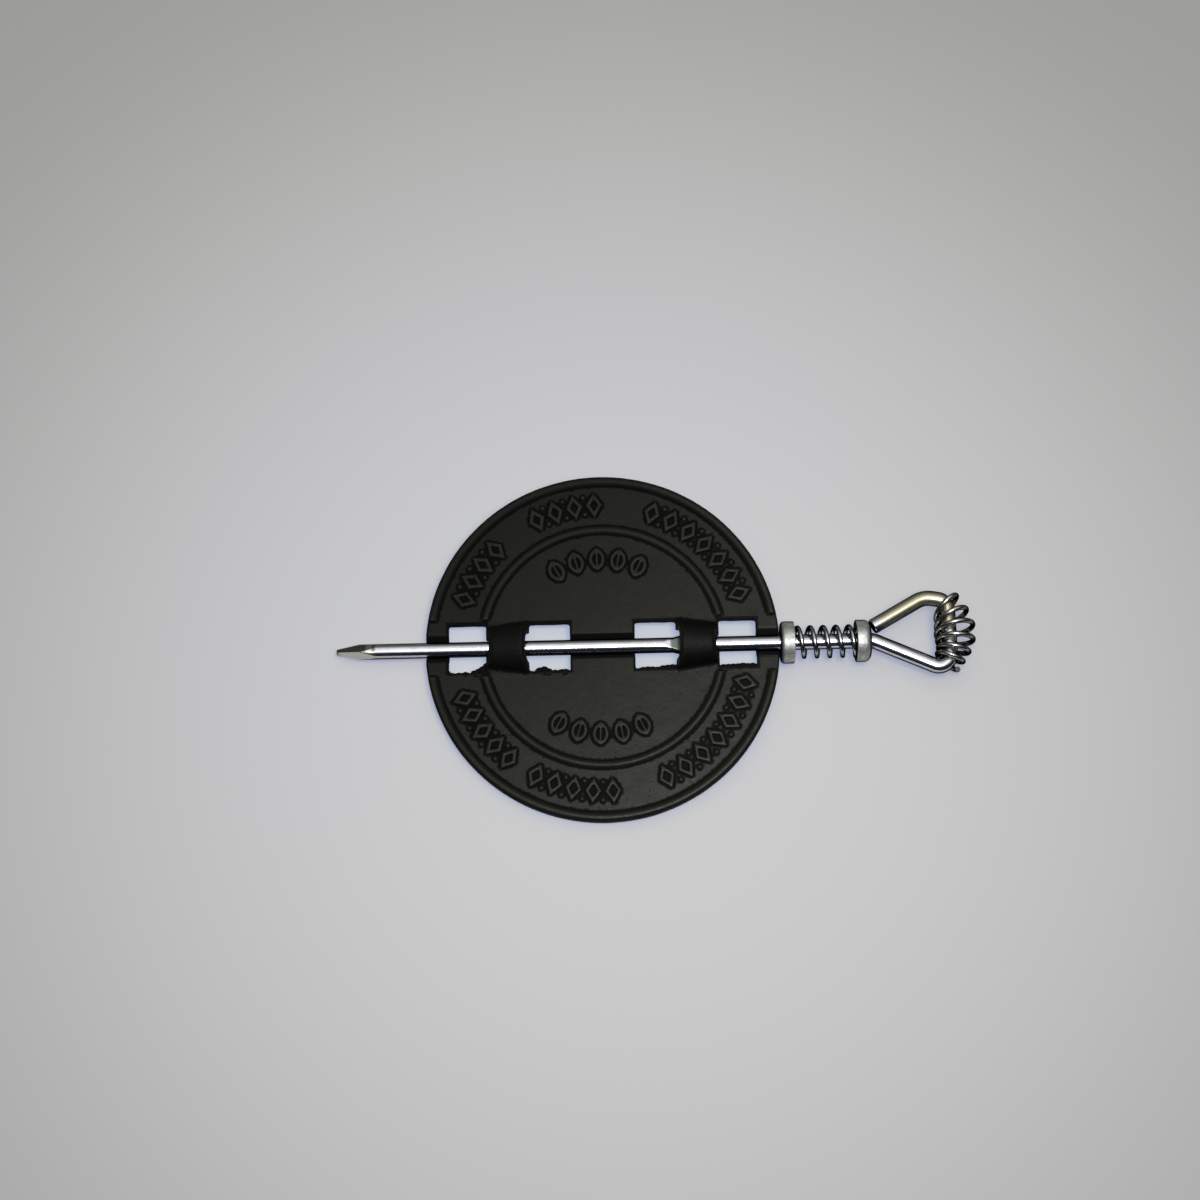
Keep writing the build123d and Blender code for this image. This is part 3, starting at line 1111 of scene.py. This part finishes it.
    def _hollowness(
        self, tree: ShapeTree, place: bpy.types.NodeSocket, normal: bpy.types.NodeSocket
    ) -> Value:
        """Works out how hollow the skin is, from how its places move outwards when they are evened out.

        Args:
            tree: The mould's tree.
            place: The skin's place, in metres.
            normal: The way that it faces.

        Returns:
            A length in millimetres, above 0 in creases and below 0 on edges.
        """
        inputs = {"Value": place, "Iterations": self.crease_reach}
        evened = tree.node("GeometryNodeBlurAttribute", {"data_type": "FLOAT_VECTOR"}, inputs)
        inputs = {0: evened.outputs[0], 1: place}
        moved = tree.node("ShaderNodeVectorMath", {"operation": "SUBTRACT"}, inputs)
        inputs = {0: moved.outputs[0], 1: normal}
        outwards = tree.node("ShaderNodeVectorMath", {"operation": "DOT_PRODUCT"}, inputs)
        return Value(tree, outwards.outputs["Value"]) / MM

    def sand_mould(self, iron: bpy.types.Material) -> ShapeTree:
        """Builds the tree that gives the casting its sand-cast skin.

        Args:
            iron: The plate's finish.

        Returns:
            The tree, which also stores how hollow the skin is under the name hollow.
        """
        tree = ShapeTree("sand_mould", self.mould)
        place = tree.node("GeometryNodeInputPosition").outputs[0]
        normal = tree.node("GeometryNodeInputNormal").outputs[0]
        rough = self._roughness(tree, tree.scaled(place, 1 / MM))
        inputs = {"Geometry": tree.geometry, "Offset": tree.scaled(normal, rough * MM)}
        moved = tree.node("GeometryNodeSetPosition", None, inputs)
        hollow = self._hollowness(tree, place, normal)
        inputs = {"Geometry": moved.outputs[0], "Name": "hollow", "Value": hollow}
        settings = {"data_type": "FLOAT", "domain": "POINT"}
        stored = tree.node("GeometryNodeStoreNamedAttribute", settings, inputs)
        tree.finish(stored.outputs[0], iron)
        return tree

    def keep_inside(self, mesh: bpy.types.Mesh, low: Vector, high: Vector) -> None:
        """Draws back the points that the mould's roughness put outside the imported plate's round box.

        Args:
            mesh: The casting.
            low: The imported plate's lowest corner.
            high: Its highest corner.
        """
        places = np.empty(len(mesh.vertices) * 3, np.float32)
        mesh.vertices.foreach_get("co", places)
        places = places.reshape(-1, 3)
        reach = np.hypot(places[:, 0], places[:, 1])
        places[:, :2] *= np.minimum(1.0, high.x * self.held_in / np.maximum(reach, MM))[:, None]
        places[:, 2] = places[:, 2].clip(low.z * self.held_in, high.z * self.held_in)
        mesh.vertices.foreach_set("co", places.ravel())

    def _cast(self, solid: bpy.types.Object, iron: bpy.types.Material) -> bpy.types.Mesh:
        """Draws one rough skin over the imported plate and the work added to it.

        Args:
            solid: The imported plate.
            iron: Its finish.

        Returns:
            The skin, with far more faces than it needs.
        """
        shape = bmesh.new()
        shape.from_mesh(solid.data)
        bmesh.ops.remove_doubles(shape, verts=shape.verts, dist=MM * 0.001)
        for extra in self.added_work(iron):
            shape.from_mesh(extra)
        item = add_object("skin", as_mesh(shape, "skin"))
        fused = item.modifiers.new("fused", "REMESH")
        fused.mode = "VOXEL"
        fused.voxel_size = self.voxel * MM
        eased = item.modifiers.new("eased", "SMOOTH")
        eased.factor = 0.5
        eased.iterations = 2
        self.sand_mould(iron).put_on(item)
        return frozen(item)

    def build(self, solid: bpy.types.Object, iron: bpy.types.Material) -> bpy.types.Object:
        """Builds the casting.

        Args:
            solid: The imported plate.
            iron: Its finish.

        Returns:
            The finished piece.
        """
        item = add_object("damper_casting", self._cast(solid, iron))
        triangles = sum(len(face.vertices) - 2 for face in item.data.polygons)
        thinned = item.modifiers.new("thinned", "DECIMATE")
        thinned.ratio = min(1.0, self.most_triangles / triangles)
        mesh = frozen(item)
        mesh.name = "damper_casting"
        self.keep_inside(mesh, *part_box("damper_plate"))
        for face in mesh.polygons:
            face.use_smooth = True
        item = add_object("damper_casting", mesh)
        return register(item, "plate", "damper_plate", iron)


def shrunk(ring: Sequence[Point], share: float) -> list[Point]:
    """A section at a share of its size."""
    return [(a * share, b * share) for a, b in ring]


@dataclass(frozen=True)
class Station:
    """One ring of the rod: its centre, the way the rod runs there, its section and its place along."""

    centre: Vector
    way: Vector
    ring: list[Point]
    along: float

    def places(self) -> list[Vector]:
        """The ring's points, turned square to the rod."""
        side = Vector((-self.way.y, self.way.x, 0.0))
        return [self.centre + side * a + Vector((0.0, 0.0, b)) for a, b in self.ring]


@dataclass
class Handle:
    """The rod, from its ground point to the cut end of its loop, and the wire grip round the loop's bar."""

    rod_radius: float
    tip: float
    neck: float
    bar: float
    sides: int = 64
    point_end_width: float = 1.7
    tip_share: float = 0.72
    point_steps: int = 32
    shaft_steps: int = 24
    swage_start: float = 25.23
    flare_start: float = 29.03
    key_start: float = 33.73
    key_end: float = 40.03
    key_half_width: float = 4.5
    key_half_depth: float = 2.6
    key_flat: float = 1.8
    key_bevel: float = 0.3
    key_end_share: float = 0.95
    past_key: float = 0.4
    lower_arm_angle: float = 24.0
    upper_arm_angle: float = 29.3
    shoulder_height: float = 16.3
    crown_height: float = 17.95
    crown_inset: float = 9.7
    cut_end_inset: float = 31.4
    bend_radii: tuple[float, ...] = (6.35, 5.0, 4.6, 10.0)
    bend_steps: int = 15
    longest_run: float = 2.5
    edge_bevel: float = 0.25
    smooth_to: float = 28.0
    grip_wire: float = 2.2
    grip_turns: float = 6.23
    grip_sizes: dict[str, float] = field(
        default_factory=lambda: {
            "Phase": 9.7,
            "Low Diameter": 12.6,
            "Top Diameter": 13.1,
            "Middle Diameter": 17.5,
            "Span": 25.5,
            "Middle Height": 2.73,
            "Bow": 4.1,
            "Spread": 0.29,
            "Tilt": 5.6,
            "Top Tilt": 29.2,
        }
    )
    grip_end_inset: float = 1.6
    grip_lead: float = 0.06

    def _point_ring(self, x: float) -> list[Point]:
        """Works out the section of the ground point: a circle cut by a square that tapers to the tip.

        Args:
            x: The place along the rod.

        Returns:
            The section's points.
        """
        share = (x - self.tip) / POINT_LENGTH
        half = (self.point_end_width + (self.rod_radius * 2 - self.point_end_width) * share) / 2
        roll = math.radians(POINT_ROLL)
        ring = []
        for side in range(self.sides):
            angle = TURN * side / self.sides
            reach = half / max(abs(math.cos(angle)), abs(math.sin(angle)))
            reach = min(self.rod_radius, reach)
            ring.append((reach * math.cos(angle + roll), reach * math.sin(angle + roll)))
        return ring

    def _shaft_ring(self, x: float = 0.0) -> list[Point]:
        """Works out the section of the shaft: round, then pressed flat and flared up to the key.

        Args:
            x: The place along the rod.

        Returns:
            The section's points.
        """
        pressed = self._share(x, self.swage_start)
        flared = self._share(x, self.flare_start)
        half_width = self.rod_radius + (self.key_half_width - self.rod_radius) * flared
        half_depth = self.rod_radius + (self.key_half_depth - self.rod_radius) * flared
        flat = self.rod_radius + (self.key_flat - self.rod_radius) * pressed
        roll = math.radians(POINT_ROLL)
        ring = []
        for side in range(self.sides):
            angle = TURN * side / self.sides + roll
            up = max(-flat, min(flat, half_depth * math.sin(angle)))
            ring.append((half_width * math.cos(angle), up))
        return ring

    def _share(self, x: float, start: float) -> float:
        """How far a change of section that starts at start has gone at x. It is whole at the key's start."""
        return max(0.0, min(1.0, (x - start) / (self.key_start - start)))

    def _shaft(self) -> list[Station]:
        """Lays out the straight shaft.

        Returns:
            Its rings, from the tip to just past the key.
        """
        round_ring = self._shaft_ring()
        point_end = self.tip + POINT_LENGTH
        sections = [(self.tip, shrunk(self._point_ring(self.tip), self.tip_share))]
        for step in range(self.point_steps + 1):
            x = self.tip + POINT_LENGTH * step / self.point_steps
            sections.append((max(x, self.tip + self.edge_bevel), self._point_ring(x)))
        for step in range(1, self.shaft_steps + 1):
            x = point_end + (self.swage_start - point_end) * step / self.shaft_steps
            sections.append((x, round_ring))
        swage = (self.swage_start, self.flare_start, 5)
        flare = (self.flare_start, self.key_start, 7)
        for start, end, count in (swage, flare):
            for step in range(1, count + 1):
                x = start + (end - start) * step / count
                sections.append((x, self._shaft_ring(x)))
        key_ring = self._shaft_ring(self.key_start)
        sections.append((self.key_end - self.key_bevel, key_ring))
        sections.append((self.key_end, shrunk(key_ring, self.key_end_share)))
        sections.append((self.key_end, round_ring))
        sections.append((self.key_end + self.past_key, round_ring))
        ahead = Vector((1.0, 0.0, 0.0))
        return [Station(Vector((x, 0.0, 0.0)), ahead, ring, x) for x, ring in sections]

    def _loop(self) -> list[Station]:
        """Lays out the neck and the loop.

        Returns:
            Their rings, from just past the key to the cut end.
        """
        round_ring = self._shaft_ring()
        lower_drop = math.tan(math.radians(self.lower_arm_angle)) * (self.bar - self.neck)
        upper_drop = math.tan(math.radians(self.upper_arm_angle)) * (self.cut_end_inset - self.crown_inset)
        along = self.key_end + self.past_key
        corners = [
            (along, 0.0),
            (self.neck, 0.0),
            (self.bar, -lower_drop),
            (self.bar, self.shoulder_height),
            (self.bar - self.crown_inset, self.crown_height),
            (self.bar - self.cut_end_inset, self.crown_height - upper_drop),
        ]
        bent = [Vector((x, y, 0.0)) for x, y in rounded(corners, self.bend_radii, self.bend_steps)]
        line = self._divided(bent, self.longest_run)
        stations = []
        for before, here, after in zip(line, line[1:], line[2:]):
            along += (here - before).length
            way = ((here - before).normalized() + (after - here).normalized()).normalized()
            stations.append(Station(here, way, round_ring, along))
        end = line[-1]
        way = (end - line[-2]).normalized()
        cut_ring = shrunk(round_ring, 1 - self.edge_bevel / self.rod_radius)
        stations.append(Station(end - way * self.edge_bevel, way, round_ring, along + 1.0))
        stations.append(Station(end, way, cut_ring, along + 1.3))
        return stations

    @staticmethod
    def _divided(line: Sequence[Vector], longest: float) -> list[Vector]:
        """Adds points to a line.

        Args:
            line: The line's points.
            longest: The longest run that is left between two of them.

        Returns:
            All the points.
        """
        points = [line[0]]
        for before, after in zip(line, line[1:]):
            count = max(1, math.ceil((after - before).length / longest))
            points += [before.lerp(after, step / count) for step in range(1, count + 1)]
        return points

    def rod(self, material: bpy.types.Material) -> bpy.types.Object:
        """Builds the rod, which carries unrolled, each point's place along the rod and in its section.

        Args:
            material: Its finish.

        Returns:
            The finished piece.
        """
        stations = self._shaft() + self._loop()
        mesh = as_mesh(loft([station.places() for station in stations]), "rod_and_loop")
        unrolled = [(station.along, a, b) for station in stations for a, b in station.ring]
        unrolled += [(station.along, 0.0, 0.0) for station in (stations[0], stations[-1])]
        attribute = mesh.attributes.new("unrolled", "FLOAT_VECTOR", "POINT")
        attribute.data.foreach_set("vector", np.array(unrolled, np.float32).ravel())
        smooth_by_angle(mesh, self.smooth_to)
        return register(add_object("rod_and_loop", mesh), "rod", "handle_rod", material)

    def _grip_line(self, graph: Graph, turn: Value, sizes: dict[str, Value]) -> bpy.types.NodeSocket:
        """Works out the grip's line: turns that swell, lean towards the crown, and fan out on an arc.

        Args:
            graph: The tree that the nodes go to.
            turn: How many turns the wire has gone.
            sizes: The tree's inputs.

        Returns:
            The place in millimetres.
        """
        half_span = sizes["Span"] / 2
        arc_radius = (half_span * half_span + sizes["Bow"] * sizes["Bow"]) / (sizes["Bow"] * 2)
        centre = sizes["Bar"] + sizes["Bow"] - arc_radius
        fan = graph.math("ARCSINE", half_span / arc_radius)
        share = turn / sizes["Turns"]
        fan_share = share * 2 * (1 + sizes["Spread"] * (share - 1)) - 1
        lean = fan * fan_share
        swell = (fan_share * (math.pi / 2)).cosine() ** 2.0
        end_diameter = sizes["Low Diameter"] + (sizes["Top Diameter"] - sizes["Low Diameter"]) * share
        diameter = end_diameter + (sizes["Middle Diameter"] - end_diameter) * swell
        radius = diameter / 2 - sizes["Wire Radius"]
        angle = (sizes["Phase"] / 360 + turn) * TURN
        reach = arc_radius + radius * angle.cosine()
        up = 0 - radius * angle.sine()
        slant = sizes["Tilt"] * swell + sizes["Top Tilt"] * share * share
        tilt = graph.math("TANGENT", slant * (math.pi / 180))
        across = sizes["Middle Height"] + reach * lean.sine() + tilt * up
        return graph.vector(centre + reach * lean.cosine(), across, up)

    def grip(self, material: bpy.types.Material) -> bpy.types.Object:
        """Builds the wire grip.

        Args:
            material: Its finish.

        Returns:
            The finished piece.
        """
        sizes = {**self.grip_sizes, "Bar": self.bar - self.grip_end_inset}
        coil = WoundWire("grip_wire", sizes, self._grip_line, self.grip_turns, self.grip_wire, self.grip_lead)
        item = add_object("grip_wire", coil.build(material))
        return register(item, "rod", "grip_coil", material)


@dataclass
class Neck:
    """What sits on the rod between the plate and the handle: two drawn cups with the spring between."""

    rod_radius: float
    pipe_cup: tuple[float, float]
    handle_cup: tuple[float, float]
    cup_radius: float
    cup_wall: float = 0.9
    bore_play: float = 0.08
    pipe_corner: float = 1.6
    handle_corner: float = 3.0
    lip: float = 0.3
    sides: int = 128
    smooth_to: float = 40.0
    push: float = 10.0
    spring_wire: float = 2.0
    spring_diameter: float = 14.0
    spring_seat_gap: float = 0.45
    spring_pitch: float = 5.3
    end_pitch: float = 2.6
    end_turns: float = 1.0
    blend_turns: float = 0.5
    spring_phase: float = 177.0

    def _cup(self, name: str, back: float, mouth: float, corner: float) -> bpy.types.Mesh:
        """Builds a drawn cup.

        Args:
            name: The mesh's name.
            back: Where its closed end is along X.
            mouth: Where its open end is.
            corner: The radius that rounds its closed end.

        Returns:
            The cup.
        """
        way = math.copysign(1.0, mouth - back)
        floor = back + way * self.cup_wall
        bore = self.rod_radius + self.bore_play
        inner = self.cup_radius - self.cup_wall
        corners = [
            (floor - way * self.cup_wall / 2, bore),
            (back, bore),
            (back, self.cup_radius),
            (mouth, self.cup_radius),
            (mouth, inner),
            (floor, inner),
            (floor, bore),
            (floor - way * self.cup_wall / 2, bore),
        ]
        radii = (self.lip / 2, corner, self.lip, self.lip, corner - self.cup_wall, self.lip / 2)
        profile = rounded(corners, radii, 9)[:-1]
        rings = []
        for side in range(self.sides):
            angle = TURN * side / self.sides
            rings.append([(x, r * math.cos(angle), r * math.sin(angle)) for x, r in profile])
        mesh = as_mesh(loft(rings, looped=True), name)
        smooth_by_angle(mesh, self.smooth_to)
        return mesh

    def cups(self, material: bpy.types.Material) -> None:
        """Builds both cups. The pipe's opens towards the handle, and the handle's towards the pipe.

        Args:
            material: Their finish.
        """
        near = self._cup("pipe_cup_shell", self.pipe_cup[0], self.pipe_cup[1], self.pipe_corner)
        register(add_object("pipe_cup_shell", near), "pipe_cup", "pipe_cup", material)
        far = self._cup("handle_cup_shell", self.handle_cup[1], self.handle_cup[0], self.handle_corner)
        register(add_object("handle_cup_shell", far), "handle_cup", "handle_cup", material)

    def _spring_line(self, graph: Graph, turn: Value, sizes: dict[str, Value]) -> bpy.types.NodeSocket:
        """Works out the spring's line, which climbs slowly over its end turns and faster between them.

        Args:
            graph: The tree that the nodes go to.
            turn: How many turns the wire has gone.
            sizes: The tree's inputs.

        Returns:
            The place in millimetres.
        """
        held = turn.most(0.0).least(sizes["Turns"])
        from_start = held.least(sizes["Turns"] - held)
        opened = (from_start - sizes["End Turns"]).most(0.0)
        blended = opened.least(sizes["Blend Turns"])
        extra = blended * blended / (sizes["Blend Turns"] * 2) + opened - blended
        climb = sizes["End Pitch"] * from_start + (sizes["Pitch"] - sizes["End Pitch"]) * extra
        beyond = (held - sizes["Turns"] / 2).eased(-0.001, 0.001)
        along = climb + (sizes["Rise"] - climb * 2) * beyond
        radius = sizes["Coil Radius"]
        angle = (sizes["Phase"] / 360 + held) * TURN
        run = (turn - held) * TURN * radius
        across = radius * angle.cosine() - run * angle.sine()
        up = radius * angle.sine() + run * angle.cosine()
        return graph.vector(sizes["Start"] + along + (turn - held) * sizes["End Pitch"], across, up)

    def spring(self, material: bpy.types.Material) -> bpy.types.Object:
        """Builds the spring, which rides on the pipe's cup.

        Args:
            material: Its finish.

        Returns:
            The finished piece.
        """
        start = self.pipe_cup[0] + self.cup_wall + self.spring_seat_gap
        end = self.handle_cup[1] - self.cup_wall - self.spring_seat_gap
        rise = end - start - self.spring_wire
        radius = (self.spring_diameter - self.spring_wire) / 2
        closed = self.end_turns + self.blend_turns / 2
        turns = (rise + 2 * (self.spring_pitch - self.end_pitch) * closed) / self.spring_pitch
        sizes = {
            "Start": start + self.spring_wire / 2,
            "Rise": rise,
            "Coil Radius": radius,
            "Pitch": self.spring_pitch,
            "End Pitch": self.end_pitch,
            "End Turns": self.end_turns,
            "Blend Turns": self.blend_turns,
            "Phase": self.spring_phase,
        }
        lead = self.spring_wire / (TURN * radius)
        coil = WoundWire("neck_spring", sizes, self._spring_line, turns, self.spring_wire, lead)
        item = add_object("neck_spring", coil.build(material))
        register(item, "pipe_cup", "tension_spring", material)
        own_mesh(item)
        return item


# The studio


@dataclass(frozen=True)
class Lamp:
    """A soft rectangular lamp over the object. Its lean is in degrees, from overhead towards the camera."""

    name: str
    lean: float
    side: float
    size: tuple[float, float]
    power: float
    colour: Colour
    mirrored: bool = True
    height: float = 1000.0

    def hang(self) -> None:
        """Adds the lamp to the scene."""
        light = bpy.data.lights.new(self.name, "AREA")
        light.shape = "RECTANGLE"
        light.size, light.size_y = (length * MM for length in self.size)
        light.energy = self.power
        light.color = self.colour
        turn = math.radians(self.lean)
        arm = Vector((0.0, -math.sin(turn), math.cos(turn))) * self.height
        item = bpy.data.objects.new(self.name, light)
        item.location = (arm + Vector((self.side, 0.0, 0.0))) * MM
        item.rotation_euler = (-turn, 0.0, 0.0)
        item.visible_camera = False
        item.visible_glossy = self.mirrored
        bpy.context.scene.collection.objects.link(item)


@dataclass(frozen=True)
class Room:
    """What the metal mirrors: white overhead, grey beyond the object, and dark blue behind the camera."""

    overhead: Colour = (1.0, 1.0, 1.0)
    beyond: Colour = (0.14, 0.135, 0.13)
    overhead_behind: Colour = (0.95, 0.97, 1.0)
    behind: Colour = (0.008, 0.010, 0.020)
    sides: Colour = (0.02, 0.02, 0.025)
    seen: Colour = (0.58, 0.58, 0.585)

    def build(self) -> None:
        """Makes the world. The camera itself sees it pale."""
        world = bpy.data.worlds.new("room")
        bpy.context.scene.world = world
        world.use_nodes = True
        graph = Graph(world.node_tree)
        x, y, z = graph.split(graph.node("ShaderNodeTexCoord").outputs["Generated"])
        beyond = graph.blend(z.eased(0.40, 1.02), self.beyond, self.overhead)
        behind = graph.blend(z.eased(0.80, 0.99), self.behind, self.overhead_behind)
        room = graph.blend(y.eased(-0.40, 0.10), behind, beyond)
        room = graph.blend(abs(x).eased(0.35, 0.85) * 0.75, room, self.sides)
        camera = Value(graph, graph.node("ShaderNodeLightPath").outputs["Is Camera Ray"])
        colour = graph.blend(camera, room, self.seen)
        background = graph.node("ShaderNodeBackground", None, {"Color": colour, "Strength": 1.0})
        graph.node("ShaderNodeOutputWorld", None, {"Surface": background.outputs[0]})


@dataclass
class Studio:
    """The pale floor, the soft lamps, the room that the metal mirrors, and the camera."""

    rest_near: tuple[float, float] = (75.0, 8.77)
    rest_far: tuple[float, float] = (-73.0, 6.09)
    rim_radius: float = 71.1
    rim_drop: float = 3.3
    floor_size: float = 9000.0
    lamps: tuple[Lamp, ...] = (
        Lamp("overhead", 9.0, 110.0, (360.0, 400.0), 6.6, (0.97, 0.98, 1.0)),
        Lamp("warm", -32.0, 0.0, (260.0, 200.0), 1.1, (1.0, 0.80, 0.45), mirrored=False),
    )
    sensor_width: float = 36.0
    aim: tuple[float, float, float] = (-0.64, 20.0, 0.0)
    distance: float = 850.0
    elevation: float = 74.86
    roll: float = -1.31
    frame_width: float = 498.5

    def floor(self, paper: bpy.types.Material) -> bpy.types.Object:
        """Lays the floor, on which the plate's far saddle, its near rim and the pipe's cup rest.

        Args:
            paper: Its finish.

        Returns:
            The floor.
        """
        (near, near_drop), (far, far_drop) = self.rest_near, self.rest_far
        slope_x = (far_drop - near_drop) / (near - far)
        centre = -far_drop - slope_x * far
        slope_y = -math.sqrt(((-self.rim_drop - centre) / self.rim_radius) ** 2 - slope_x**2)
        half = self.floor_size / 2
        corners = [(-half, -half), (half, -half), (half, half), (-half, half)]
        places = [Vector((x, y, centre + slope_x * x + slope_y * y)) * MM for x, y in corners]
        mesh = bpy.data.meshes.new("floor")
        mesh.from_pydata(places, [], [(0, 1, 2, 3)])
        mesh.materials.append(paper)
        item = add_object("floor", mesh)
        return item

    def camera(self) -> bpy.types.Object:
        """Sets up the camera at the photograph's angle.

        Returns:
            The camera.
        """
        data = bpy.data.cameras.new("camera")
        data.sensor_width = self.sensor_width
        data.lens = data.sensor_width * self.distance / self.frame_width
        item = bpy.data.objects.new("camera", data)
        lean = math.radians(self.elevation)
        back = Vector((0.0, -math.cos(lean), math.sin(lean)))
        item.location = (Vector(self.aim) + back * self.distance) * MM
        turned = (-back).to_track_quat("-Z", "Y").to_matrix().to_4x4()
        item.rotation_euler = (turned @ Matrix.Rotation(math.radians(self.roll), 4, "Z")).to_euler()
        bpy.context.scene.collection.objects.link(item)
        bpy.context.scene.camera = item
        return item

    def build(self) -> None:
        """Sets up the whole studio."""
        self.floor(PalePaper("pale_paper").material())
        for lamp in self.lamps:
            lamp.hang()
        Room().build()
        self.camera()
        bpy.context.scene.view_settings.view_transform = "Standard"


def in_mm(node: str) -> tuple[Vector, Vector]:
    """The lowest and highest corner of a solid in millimetres."""
    low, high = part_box(node)
    return low / MM, high / MM


def main() -> None:
    """Builds every sub-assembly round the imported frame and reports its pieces."""
    logging.basicConfig(level=logging.INFO, format="%(name)s: %(message)s")
    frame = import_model()
    rod_low, rod_high = in_mm("handle_rod")
    pipe_cup_low, pipe_cup_high = in_mm("pipe_cup")
    handle_cup_low, handle_cup_high = in_mm("handle_cup")
    rod_radius = (rod_high.z - rod_low.z) / 2
    bend_gap = 1.0

    Casting().build(frame["nodes"]["damper_plate"], BlackIron("black_iron").material())

    handle = Handle(rod_radius, rod_low.x, handle_cup_high.x + bend_gap, rod_high.x - rod_radius)
    handle.rod(RodSteel("rod_zinc").material())
    grip_finish = WireZinc("grip_zinc", colour=(0.56, 0.55, 0.50), dull=(0.30, 0.295, 0.265))
    handle.grip(grip_finish.material())

    neck = Neck(
        rod_radius,
        (pipe_cup_low.x, pipe_cup_high.x),
        (handle_cup_low.x, handle_cup_high.x),
        min(pipe_cup_high.z, -pipe_cup_low.z),
    )
    neck.cups(CupZinc("cup_zinc").material())
    spring_finish = WireZinc("spring_zinc", colour=(0.55, 0.56, 0.57), dull=(0.34, 0.35, 0.36))
    neck.spring(spring_finish.material())

    Studio().build()


if __name__ == "__main__":
    main()
